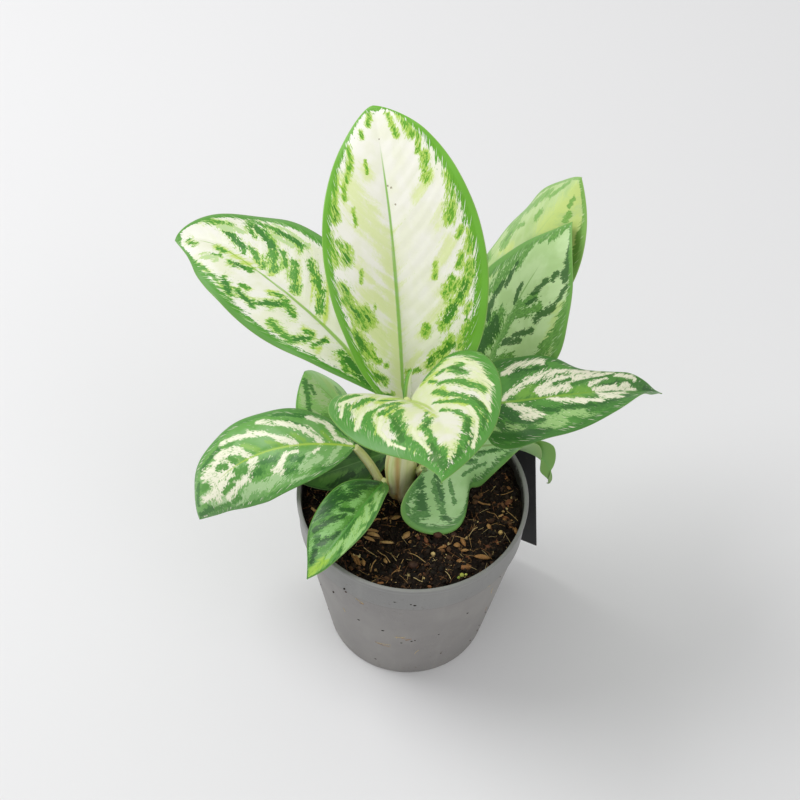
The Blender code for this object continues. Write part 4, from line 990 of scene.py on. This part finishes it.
# crumbs of soil and short root hairs stuck to the outside of the pot: angle, height, length, width, turn
wallCrumbs = ((-134, 74, 3.2, 1.4, 80), (-123, 93, 2.6, 1.2, 70), (-122, 91, 1.4, 0.9, 20), (-86, 96, 2, 1.3, 0),
              (-88, 97, 1.3, 0.9, 0), (-118, 59, 1.5, 0.9, 0), (-103, 57, 2, 1, 10), (-86, 47, 1.3, 0.9, 0),
              (-84, 48, 1, 0.7, 0), (-54, 67, 1.3, 0.9, 0), (-89, 104, 1.4, 0.8, 0), (-70, 52, 1, 0.6, 0),
              (-96, 98, 1.6, 0.7, 0), (-65, 22, 1.2, 0.8, 0), (-110, 12, 1.5, 0.8, 0), (-92, 44, 1.2, 0.7, 0))
wallHairs = ((-115, 86, 5, 150), (-114, 84, 3, 20), (-81, 102, 6, 30), (-78, 101, 4, 120), (-103, 38, 8, 10),
             (-106, 37, 5, 160), (-101, 36, 4, 170), (-93, 52, 6, 15), (-90, 50, 5, 160), (-88, 49, 4, 40),
             (-82, 31, 6, 70), (-93, 107, 4, 60), (-63, 103, 5, 80), (-95, 51, 3, 90), (-58, 100, 7, 10),
             (-37, 73, 8, 100), (-45, 88, 5, 160), (-128, 60, 4, 100))


def lump(centre, size, turn, random, sides=9):  # a rough pebble with its long side turned
    points, faces = [], []
    rings = sides // 2 + 1
    for i in range(rings + 1):
        tilt = math.pi * i / rings
        for j in range(sides if 0 < i < rings else 1):
            around = 2 * math.pi * j / sides
            grow = 1 + random.uniform(-0.14, 0.14)
            points.append((math.sin(tilt) * math.cos(around) * size[0] * grow,
                           math.sin(tilt) * math.sin(around) * size[1] * grow, math.cos(tilt) * size[2] * grow))
    for j in range(sides):
        k = (j + 1) % sides
        faces.append((0, 1 + j, 1 + k))
        faces.append((len(points) - 1, len(points) - 1 - sides + k, len(points) - 1 - sides + j))
        for i in range(rings - 2):
            a = 1 + i * sides
            faces.append((a + j, a + sides + j, a + sides + k, a + k))
    place = Matrix.Translation(centre) @ turn
    return [place @ Vector(point) for point in points], faces


def husk(centre, size, turn, random):  # an empty seed shell: a thin pointed boat, hollow side down
    rows, count = 12, 7
    points, faces = [], []
    for layer in (1, -1):
        for i in range(rows + 1):
            t = i / rows
            wide = math.sin(math.pi * t) ** 0.7 + 0.04
            for j in range(count):
                across = 2 * j / (count - 1) - 1
                arch = (1 - 0.8 * across ** 2) * wide + 0.25 * math.sin(math.pi * t)
                points.append(((2 * t - 1) * size[0], across * wide * size[1],
                               arch * size[2] + layer * 0.12 * mm * (1 - 0.6 * abs(across))))
    sheet = (rows + 1) * count
    for i in range(rows):
        for j in range(count - 1):
            a = i * count + j
            faces.append((a, a + count, a + count + 1, a + 1))
            faces.append((a + sheet, a + sheet + 1, a + sheet + count + 1, a + sheet + count))
    edge = [i * count for i in range(rows + 1)] + [rows * count + j for j in range(1, count)]
    edge += [i * count + count - 1 for i in range(rows - 1, -1, -1)] + [j for j in range(count - 2, 0, -1)]
    for a, b in zip(edge, edge[1:] + edge[:1]):
        faces.append((a, b, b + sheet, a + sheet)[::-1])
    place = Matrix.Translation(centre) @ turn
    return [place @ Vector(point) for point in points], faces


def bitsPiece(name, bits, finish, smooth=False):  # many small shapes, each with its own tint
    points, faces, tints = [], [], []
    for (bitPoints, bitFaces), tint in bits:
        faces.extend(tuple(len(points) + k for k in face) for face in bitFaces)
        points.extend(bitPoints)
        tints.extend([tint] * len(bitPoints))
    piece = newPiece(name, points, faces, finish, smooth=smooth)
    keepFloat(piece.data, "tint", tints)
    sheet = bmesh.new()
    sheet.from_mesh(piece.data)
    bmesh.ops.recalc_face_normals(sheet, faces=sheet.faces)
    sheet.to_mesh(piece.data)
    sheet.free()
    return piece


def bitsFinish(name, stops, roughness=0.8):
    finish = Finish(name, Roughness=roughness, Specular_IOR_Level=0.25)
    place = finish.place()
    fine = finish.noise(place, 1500, 3, 0.6)
    long = finish.noise(finish.stretched(place, (1, 1, 1)), 500, 3, 0.6)
    colour = finish.ramp(finish.attribute("tint") + (long - 0.5) * 0.18, *stops)
    colour = finish.blend(fine.step(0.42, 0.7) * 0.45, colour, tone("#2c2119"))
    return finish.wear(Base_Color=colour, Normal=finish.bump(fine, 0.0002, 0.6))


peatStops = ((0.0, "#0d0a07"), (0.5, "#1d1610"), (0.75, "#34261b"), (0.9, "#533a27"), (1.0, "#7c5836"))
barkStops = ((0.0, "#35231a"), (0.2, "#5c3a29"), (0.42, "#8b5634"), (0.6, "#a37645"), (0.78, "#c49c64"),
             (0.9, "#dcc389"))
peatFinish = bitsFinish("peatCrumbs", peatStops)
barkFinish = bitsFinish("barkChips", barkStops, 0.6)


def wallFrame(degrees, z, spin):  # a place on the outside of the pot, X along it and Z out of it
    angle = math.radians(degrees)
    out = Vector((math.cos(angle), math.sin(angle), 0))
    radius = potShape["lip"] - 1.2 if z > potShape["height"] - potShape["band"] else wallRadius(z)
    along = Vector((-math.sin(angle), math.cos(angle), 0))
    place = Matrix((along, Vector((0, 0, 1)).cross(along) * -1, out)).transposed()
    up = out.cross(along)
    place = Matrix((along, up, out)).transposed().to_4x4() @ Matrix.Rotation(math.radians(spin), 4, "Z")
    return out * radius * mm + Vector((0, 0, z * mm)), place


def makeWallBits():
    random = np.random.default_rng(11)
    bits = []
    strewn = [(random.uniform(-40, 210), random.uniform(5, 100), random.uniform(0.7, 2.2),
               random.uniform(0.5, 1.1), random.uniform(0, 180)) for _ in range(46)]
    for degrees, z, length, width, spin in wallCrumbs + tuple(strewn):
        centre, turn = wallFrame(degrees, z, spin)
        bits.append((lump(centre, (length * mm / 2, width * mm / 2, 0.35 * mm), turn, random), random.uniform(0.2, 0.95)))
    crumbs = bitsPiece("wallCrumbs", bits, peatFinish)
    bits = []
    strewn = [(random.uniform(-40, 210), random.uniform(5, 100), random.uniform(3, 8), random.uniform(0, 180))
              for _ in range(26)]
    for degrees, z, length, spin in wallHairs + tuple(strewn):
        centre, turn = wallFrame(degrees, z, spin)
        bend = random.uniform(-0.3, 0.3) * length
        path = []
        for t in (-0.5, -0.2, 0.2, 0.5):
            local = turn @ Vector((t * length * mm, (0.25 - t * t) * bend * mm, 0))
            spot = centre + local
            flat = math.hypot(spot.x, spot.y) / mm
            z = spot.z / mm
            wall = potShape["lip"] - 1.2 if z > potShape["height"] - potShape["band"] else wallRadius(z)
            grow = (wall + 0.08) / flat
            path.append((spot.x * grow / mm, spot.y * grow / mm, z, 0.13))
        tube = sweptTube(path, 5, steps=3)
        bits.append(((tube[0], tube[1]), random.uniform(0.55, 1.1)))
    return crumbs, bitsPiece("wallHairs", bits, barkFinish)


makeWallBits()
print("bits on the pot made")


# soil
soilShape = dict(top=102, radius=57.4, rings=95, segments=250, sown=55.8)
groundRandom = np.random.default_rng(5)
groundWaves = [(groundRandom.normal(0, pitch, 2), groundRandom.uniform(0, 6.28), size)
               for pitch, size in [(350, 0.16)] * 14 + [(1100, 0.1)] * 26 + [(2600, 0.05)] * 30]


def groundHeight(x, y):  # metres above the pot's foot
    h = 0.5 * np.sin(410 * x + 1.3) * np.cos(370 * y - 0.4) + 0.3 * np.sin(790 * x - 620 * y + 2.1)
    h = 1.2 * (h + 0.3 * np.cos(930 * y + 540 * x - 1.7) * np.sin(260 * x - 0.9))
    for (a, b), shift, size in groundWaves:
        h = h + size * np.sin(a * x + b * y + shift)
    return (soilShape["top"] + h) * mm


def groundDisc(radius, rings, segments):
    turn = 2 * math.pi * np.arange(segments) / segments
    reach = np.repeat(radius * mm * (1 - np.arange(rings) / rings), segments)
    x = np.append(reach * np.tile(np.cos(turn), rings), 0)
    y = np.append(reach * np.tile(np.sin(turn), rings), 0)
    points = np.stack([x, y, groundHeight(x, y)], 1).tolist()
    faces = []
    for i in range(rings - 1):
        for j in range(segments):
            k = (j + 1) % segments
            faces.append((i * segments + j, i * segments + k, (i + 1) * segments + k, (i + 1) * segments + j))
    inner = (rings - 1) * segments
    faces += [(inner + j, inner + (j + 1) % segments, rings * segments) for j in range(segments)]
    return points, faces


def soilFinish():
    finish = Finish("soilMix", Specular_IOR_Level=0.2, Roughness=0.9)
    place = finish.place()
    fine = finish.noise(place, 900, 6, 0.7)
    lumps = finish.noise(place, 260, 3, 0.6)
    colour = finish.blend(fine.step(0.35, 0.7), tone("#0f0b08"), tone("#2b2018"))
    colour = finish.blend(lumps.step(0.5, 0.7) * fine.step(0.45, 0.6) * 0.6, colour, tone("#4a3323"))
    return finish.wear(Base_Color=colour, Normal=finish.bump(fine + lumps, 0.0008, 0.9))


def makeSoil():
    form = soilShape
    n = form["segments"]
    points, faces = groundDisc(form["radius"], form["rings"], n)
    base = len(points)
    turn = 2 * math.pi * np.arange(n) / n
    for r, z in ((57.4, 100), (55.6, 90), (41.5, 4.5)):
        points += [(r * mm * math.cos(a), r * mm * math.sin(a), z * mm) for a in turn]
    starts = (0, base, base + n, base + 2 * n)
    for a, b in zip(starts, starts[1:]):
        faces += [(a + j, b + j, b + (j + 1) % n, a + (j + 1) % n) for j in range(n)]
    faces.append(tuple(range(base + 2 * n, base + 3 * n))[::-1])
    mesh = bpy.data.meshes.new("soil")
    mesh.from_pydata(points, [], faces)
    sheet = bmesh.new()
    sheet.from_mesh(mesh)
    bmesh.ops.recalc_face_normals(sheet, faces=sheet.faces)
    sheet.to_mesh(mesh)
    sheet.free()
    return dress("soilMass", mesh, soilFinish(), ("soil",))


def groundMesh(name):
    mesh = bpy.data.meshes.new(name)
    points, faces = groundDisc(soilShape["sown"], 40, 90)
    mesh.from_pydata(points, [], faces)
    return mesh


def sowCrumbs(name, density, small, large, divisions, seed):
    rule = Rule(name, Density=density, Smallest=small * mm, Largest=large * mm, Divisions=divisions, Seed=seed)
    ball = rule.add("GeometryNodeMeshIcoSphere", {}, {"Radius": 1.0, "Subdivisions": rule.given("Divisions")})
    ball = rule.roughen(ball, 1.3, 0.9)
    turn = rule.join(rule.dice(0.0, 6.28, 1), rule.dice(0.0, 6.28, 2), rule.dice(0.0, 6.28, 3))
    size = rule.given("Smallest") + (rule.given("Largest") - rule.given("Smallest")) * rule.dice(0.0, 1.0, 4) ** 2.5
    scale = rule.join(size, size * rule.dice(0.6, 1.0, 5), size * rule.dice(0.45, 0.9, 6))
    mesh = rule.grow(groundMesh(name), rule.sown(ball, turn, scale), peatFinish)
    return dress(name, mesh, None, smooth=False)


def sowChips(name, density, small, large, seed):
    rule = Rule(name, Density=density, Shortest=small * mm, Longest=large * mm, Seed=seed)
    values = {"Size": (1.0, 0.4, 0.16), "Vertices X": 5, "Vertices Y": 3, "Vertices Z": 2}
    chip = rule.roughen(rule.add("GeometryNodeMeshCube", {}, values), 2.3, 0.34)
    turn = rule.join(rule.dice(-0.45, 0.45, 1), rule.dice(-0.45, 0.45, 2), rule.dice(0.0, 6.28, 3))
    size = rule.given("Shortest") + (rule.given("Longest") - rule.given("Shortest")) * rule.dice(0.0, 1.0, 4) ** 2.0
    scale = rule.join(size, size * rule.dice(0.5, 1.3, 5), size * rule.dice(0.7, 1.3, 6))
    mesh = rule.grow(groundMesh(name), rule.sown(chip, turn, scale), barkFinish)
    return dress(name, mesh, None, smooth=False)


def sowFibres(name, density, small, large, thick, seed):
    rule = Rule(name, Density=density, Shortest=small * mm, Longest=large * mm, Thickness=thick * mm, Seed=seed)
    values = {"Resolution": 7, "Start": (-0.5, 0, 0), "Middle": (0, 0.12, 0.08), "End": (0.5, 0.02, 0.03)}
    hair = rule.add("GeometryNodeCurveQuadraticBezier", {}, values)
    turn = rule.join(rule.dice(-0.25, 0.25, 1), rule.dice(-0.25, 0.25, 2), rule.dice(0.0, 6.28, 3))
    size = rule.given("Shortest") + (rule.given("Longest") - rule.given("Shortest")) * rule.dice(0.0, 1.0, 4) ** 2.0
    scale = rule.join(size, size * rule.dice(-1.0, 1.0, 5), size)
    hairs = rule.add("GeometryNodeRealizeInstances", {}, {0: rule.sown(hair, turn, scale)})
    lift = rule.add("GeometryNodeSetPosition", {}, {0: hairs, "Offset": (0, 0, 0.0007)})
    hairs = rule.add("GeometryNodeSetCurveRadius", {}, {0: lift, "Radius": 1.0})
    ring = rule.add("GeometryNodeCurvePrimitiveCircle", {}, {"Resolution": 4, "Radius": rule.given("Thickness")})
    tubes = rule.add("GeometryNodeCurveToMesh", {}, {"Curve": hairs, "Profile Curve": ring, "Fill Caps": True})
    mesh = rule.grow(groundMesh(name), tubes, barkFinish)
    return dress(name, mesh, None, smooth=False)


# larger bits seen on the soil: kind, x, y, heading, length, width, height, tint
soilBits = (
    ("husk", -19, -22, -17, 7, 2.6, 1.2, 0.76), ("husk", -2, -21, 46, 6.6, 2.9, 1.2, 0.74),
    ("husk", -19, -19, -10, 7.5, 2, 1, 0.7), ("husk", -12, -26, -6, 7.9, 1.7, 0.8, 0.8),
    ("husk", -8, -11, 17, 5.2, 2.2, 1, 0.72), ("husk", -21, -25, -22, 6.8, 2, 1, 0.72),
    ("husk", 37, -33, -3, 8.8, 2.8, 1.1, 0.62), ("husk", 29, -38, 12, 7.1, 3.2, 0.9, 0.52),
    ("husk", 24, -26, 4, 3.8, 3, 1, 0.62), ("husk", 27, -24, -65, 5.9, 2.1, 0.9, 0.56),
    ("husk", 17, -27, 32, 6.7, 1.6, 0.8, 0.58), ("lump", 8, -24, -65, 4.2, 2.2, 1.6, 0.36),
    ("lump", 4, -23, -53, 2.9, 1.9, 1.4, 0.24), ("lump", 40, -13, -67, 3.7, 2, 1.4, 0.66),
    ("husk", 54, -14, -80, 5, 2, 0.9, 0.6), ("lump", 50, 3, 42, 5, 3, 1.4, 0.34),
    ("lump", 11, -51, -3, 2.4, 1.7, 1.2, 0.46), ("lump", -14, -51, -3, 4.1, 1.6, 1, 0.5),
    ("husk", -26, -38, -67, 10, 1.8, 0.9, 0.56), ("husk", -23, -40, -76, 4.4, 2, 0.9, 0.64),
    ("lump", -24, -39, -22, 2.3, 1.4, 1, 0.8), ("lump", 22, -19, -10, 4.4, 3.6, 3, 0.05),
    ("lump", 2, -39, -12, 5.6, 4.8, 3.6, 0.04), ("lump", 14, -21, 4, 5, 3.8, 3, 0.14),
    ("husk", 28, -29, 11, 4.2, 1.8, 0.8, 0.64), ("husk", -12, -38, -53, 2.9, 1.8, 0.9, 0.74),
    ("husk", -3, -21, 70, 4.3, 1.6, 0.8, 0.6), ("husk", -28, -37, -61, 8.6, 1.7, 0.8, 0.58),
    ("lump", 50, 12, -34, 2.6, 1.8, 1.2, 0.5), ("husk", -32, 30, 40, 6.5, 2.4, 1.1, 0.72),
    ("husk", 24, 40, 120, 7, 2.5, 1.2, 0.66), ("husk", -8, 44, 10, 7.5, 2.2, 1, 0.7),
    ("lump", 38, 26, 30, 4.6, 3.2, 2.4, 0.18), ("lump", -40, 8, 70, 4.2, 3.6, 2.4, 0.08))
# fibres: x, y, heading, length, radius, tint
soilFibres = (
    (-16, -13, 21, 7.7, 0.45, 0.66), (36, 1, -14, 9, 0.45, 0.66), (-13, -35, -43, 9.4, 0.2, 0.8),
    (4, -35, -36, 10.5, 0.18, 0.8), (-8, -46, 56, 10.9, 0.18, 0.62), (-8, -35, -59, 6, 0.2, 0.9),
    (5, -48, -29, 5.3, 0.18, 0.9), (32, -17, 47, 6.5, 0.16, 0.9), (27, -21, -4, 8, 0.16, 0.8),
    (-18, -41, 70, 7, 0.3, 0.74), (-4, -40, 75, 8, 0.18, 0.8), (20, -44, -60, 6, 0.16, 0.9),
    (-20, -33, -38, 9, 0.2, 0.85), (42, -6, -40, 8, 0.16, 0.75), (48, 8, 20, 9, 0.16, 0.75),
    (52, -6, -50, 9, 0.15, 0.8), (-45, -24, -30, 7, 0.18, 0.85), (-44, 2, 60, 8, 0.18, 0.85))


def makeBits():
    random = np.random.default_rng(3)
    shapes = {"husk": husk, "lump": lump}
    bits = []
    for kind, x, y, heading, length, width, height, tint in soilBits:
        z = float(groundHeight(x * mm, y * mm)) + 0.7 * mm
        tilt = Matrix.Rotation(random.uniform(-0.25, 0.25), 4, "X") @ Matrix.Rotation(random.uniform(-0.2, 0.2), 4, "Y")
        turn = Matrix.Rotation(math.radians(heading), 4, "Z") @ tilt
        size = (length * mm / 2, width * mm / 2, height * mm / 2 if kind == "lump" else height * mm)
        bits.append((shapes[kind]((x * mm, y * mm, z), size, turn, random), tint))
    for x, y, heading, length, radius, tint in soilFibres:
        angle = math.radians(heading)
        path = []
        for t in (-0.5, -0.2, 0.1, 0.5):
            bend = length * 0.05 * (1 - 4 * t * t)
            px = x + t * length * math.cos(angle) - bend * math.sin(angle)
            py = y + t * length * math.sin(angle) + bend * math.cos(angle)
            path.append((px, py, float(groundHeight(px * mm, py * mm)) / mm + 1.0 + 0.6 * t, radius))
        tube = sweptTube(path, 6, steps=4)
        bits.append(((tube[0], tube[1]), tint))
    bitsPiece("soilBits", bits, barkFinish, smooth=True)
    grains = []
    for x, y, size, tint in ((12, -32, 1.25, 0.1), (46, -17, 1.25, 0.3), (-30, -30, 0.7, 0.3), (8, -46, 0.6, 0.2),
                             (27, -44, 1.3, 0.9), (25.5, -45, 0.9, 0.8), (29, -43.4, 0.8, 1.0), (-2, 38, 1, 0.2)):
        z = float(groundHeight(x * mm, y * mm)) + size * 0.9 * mm
        turn = Matrix.Rotation(x, 4, "Z")
        flat = 0.55 if tint > 0.5 else 0.95
        grains.append((lump((x * mm, y * mm, z), (size * mm, size * 0.9 * mm, size * flat * mm), turn, random, 12), tint))
    stops = ((0.0, "#e2c98a"), (0.45, "#cfa860"), (0.6, "#8c9e42"), (0.85, "#9fb348"), (1.0, "#cdcb66"))
    bitsPiece("soilGrains", grains, bitsFinish("pearlGrains", stops, 0.5), smooth=True)


makeSoil()
for plan in (("fineCrumbs", 520000.0, 0.3, 0.95, 1, 4), ("coarseCrumbs", 90000.0, 0.7, 2.1, 2, 9)):
    sowCrumbs(*plan)
sowChips("barkChips", 52000.0, 0.7, 3.8, 12)
sowFibres("rootFibres", 42000.0, 1.8, 9.0, 0.09, 21)
makeBits()
print("soil made")


# label: a plain card outside the pot on a tongue that is bent over the lip and down into the soil
labelShape = dict(width=62, height=90, thick=0.6, corner=0.6, shift=14.4, drop=4, tilt=-6, facing=63.5, gap=0.2,
                  tongueWidth=16, tongueDepth=24, lean=2.4)


def labelFinish():
    finish = Finish("labelCard", Specular_IOR_Level=0.4)
    place = finish.place()
    dust = finish.noise(place, 260, 5, 0.7)
    sheen = finish.noise(place, 35, 2, 0.5)
    colour = finish.blend(sheen.step(0.35, 0.65), tone("#191a1b"), tone("#222324"))
    colour = finish.blend(dust.step(0.62, 0.74) * 0.5, colour, tone("#5b5248"))
    colour = finish.blend(finish.attribute("cut") * 0.6, colour, tone("#4c4c4b"))
    return finish.wear(Base_Color=colour, Roughness=0.42 + (sheen - 0.5) * 0.2)


def makeLabel():
    form = labelShape
    facing = math.radians(form["facing"])
    out = Vector((math.cos(facing), math.sin(facing), 0))
    along = Vector((math.sin(facing), -math.cos(facing), 0))
    place = Matrix((along, out, (0, 0, 1))).transposed().to_4x4()
    place.translation = out * (potShape["lip"] + form["gap"]) * mm
    half = form["thick"] / 2
    high = potShape["height"]
    points, faces, cut = [], [], []
    # the card
    outline = []
    for corner, (sx, sz) in enumerate(((1, 1), (-1, 1), (-1, -1), (1, -1))):
        for step in range(7):
            angle = math.pi / 2 * (corner + step / 6)
            outline.append((sx * (form["width"] / 2 - form["corner"]) + form["corner"] * math.cos(angle),
                            sz * (form["height"] / 2 - form["corner"]) + form["corner"] * math.sin(angle)))
    tilt = Matrix.Rotation(math.radians(form["tilt"]), 4, "Y")
    middle = Matrix.Translation((form["shift"] * mm, (half + 0.4) * mm, (high - form["drop"] - form["height"] / 2) * mm))
    count = len(outline)
    for inset, y in ((0.25, -half), (0, -half + 0.2), (0, half - 0.2), (0.25, half)):
        for x, z in outline:
            shrink = Vector((x - inset * np.sign(x), y, z - inset * np.sign(z))) * mm
            points.append(place @ middle @ tilt @ shrink)
            cut.append(1.0 if inset == 0 else 0.0)
    for i in range(3):
        faces += [(i * count + j, i * count + (j + 1) % count, (i + 1) * count + (j + 1) % count, (i + 1) * count + j)
                  for j in range(count)]
    faces.append(tuple(range(count))[::-1])
    faces.append(tuple(range(3 * count, 4 * count)))
    # the tongue
    inside = 2.2 + 2 * form["gap"] + form["thick"] + 0.2
    line = [(half + 0.1, high - 16, 0), (half + 0.1, high - 1, 0), (half - 0.1, high + 0.5, 0), (half - 0.8, high + 0.9, 0),
            (-inside + 0.6, high + 0.9, 0), (-inside - 0.1, high + 0.5, 0), (-inside - 0.4, high - 1, 0),
            (-inside - 0.4 - form["lean"], high - form["tongueDepth"], 0)]
    rows = smoothPath([(y, z, 0, 0) for y, z, _ in line], 5)[:, :2]
    ahead = np.gradient(rows, axis=0)
    ahead /= np.linalg.norm(ahead, axis=1, keepdims=True)
    start = len(points)
    wide = form["tongueWidth"] / 2
    for (y, z), (ay, az) in zip(rows, ahead):
        for x, side in ((-wide, -half), (wide, -half), (wide, half), (-wide, half)):
            points.append(place @ (Vector((x, y - az * side, z + ay * side)) * mm))
            cut.append(0.3)
    for i in range(len(rows) - 1):
        a = start + 4 * i
        faces += [(a + j, a + (j + 1) % 4, a + 4 + (j + 1) % 4, a + 4 + j) for j in range(4)]
    last = start + 4 * (len(rows) - 1)
    faces += [(start + 3, start + 2, start + 1, start), (last, last + 1, last + 2, last + 3)]
    piece = newPiece("plantLabel", points, faces, labelFinish(), ("label_panel",), smooth=False)
    keepFloat(piece.data, "cut", cut)
    sheet = bmesh.new()
    sheet.from_mesh(piece.data)
    bmesh.ops.recalc_face_normals(sheet, faces=sheet.faces)
    sheet.to_mesh(piece.data)
    sheet.free()
    return piece


makeLabel()
print("label made")


def makeStage():
    mesh = bpy.data.meshes.new("floor")
    size = 4
    mesh.from_pydata([(-size, -size, 0), (size, -size, 0), (size, size, 0), (-size, size, 0)], [], [(0, 1, 2, 3)])
    floor = bpy.data.objects.new("floor", mesh)
    bpy.context.scene.collection.objects.link(floor)
    finish = Finish("floorPaint", Roughness=0.8)
    mesh.materials.append(finish.wear(Base_Color=tone("#e6e6e7")))

    lamps = {"windowLight": ((-1.0, 0.35, 1.4), 1.1, 16), "fillLight": ((1.1, -0.8, 1.2), 1.2, 3)}
    for name, (spot, size, power) in lamps.items():
        light = bpy.data.lights.new(name, "AREA")
        light.shape = "DISK"
        light.size = size
        light.energy = power
        lamp = bpy.data.objects.new(name, light)
        lamp.location = spot
        lamp.rotation_euler = (Vector((0, 0, 0.12)) - Vector(spot)).to_track_quat("-Z", "Y").to_euler()
        bpy.context.scene.collection.objects.link(lamp)
    world = bpy.data.worlds.new("studio")
    world.use_nodes = True
    world.node_tree.nodes["Background"].inputs["Color"].default_value = (1, 1, 1, 1)
    world.node_tree.nodes["Background"].inputs["Strength"].default_value = 0.62
    bpy.context.scene.world = world
    bpy.context.scene.view_settings.view_transform = "Standard"


# the viewpoint of the photograph: above the front, with the lip of the pot below the middle
cameraPlan = dict(spot=(0, -0.5188, 0.8454), tilt=-51.75, pan=90.95, roll=-2.36, lens=78.3)


def makeCamera():
    plan = cameraPlan
    tilt, pan, roll = (math.radians(plan[key]) for key in ("tilt", "pan", "roll"))
    ahead = Vector((math.cos(tilt) * math.cos(pan), math.cos(tilt) * math.sin(pan), math.sin(tilt)))
    right = ahead.cross(Vector((0, 0, 1))).normalized()
    up = right.cross(ahead)
    x = right * math.cos(roll) - up * math.sin(roll)
    y = right * math.sin(roll) + up * math.cos(roll)
    data = bpy.data.cameras.new("camera")
    data.sensor_width = 36
    data.lens = plan["lens"]
    data.clip_end = 20
    camera = bpy.data.objects.new("camera", data)
    camera.matrix_world = Matrix((x, y, -ahead)).transposed().to_4x4()
    camera.location = plan["spot"]
    bpy.context.scene.collection.objects.link(camera)
    bpy.context.scene.camera = camera


makeStage()
makeCamera()
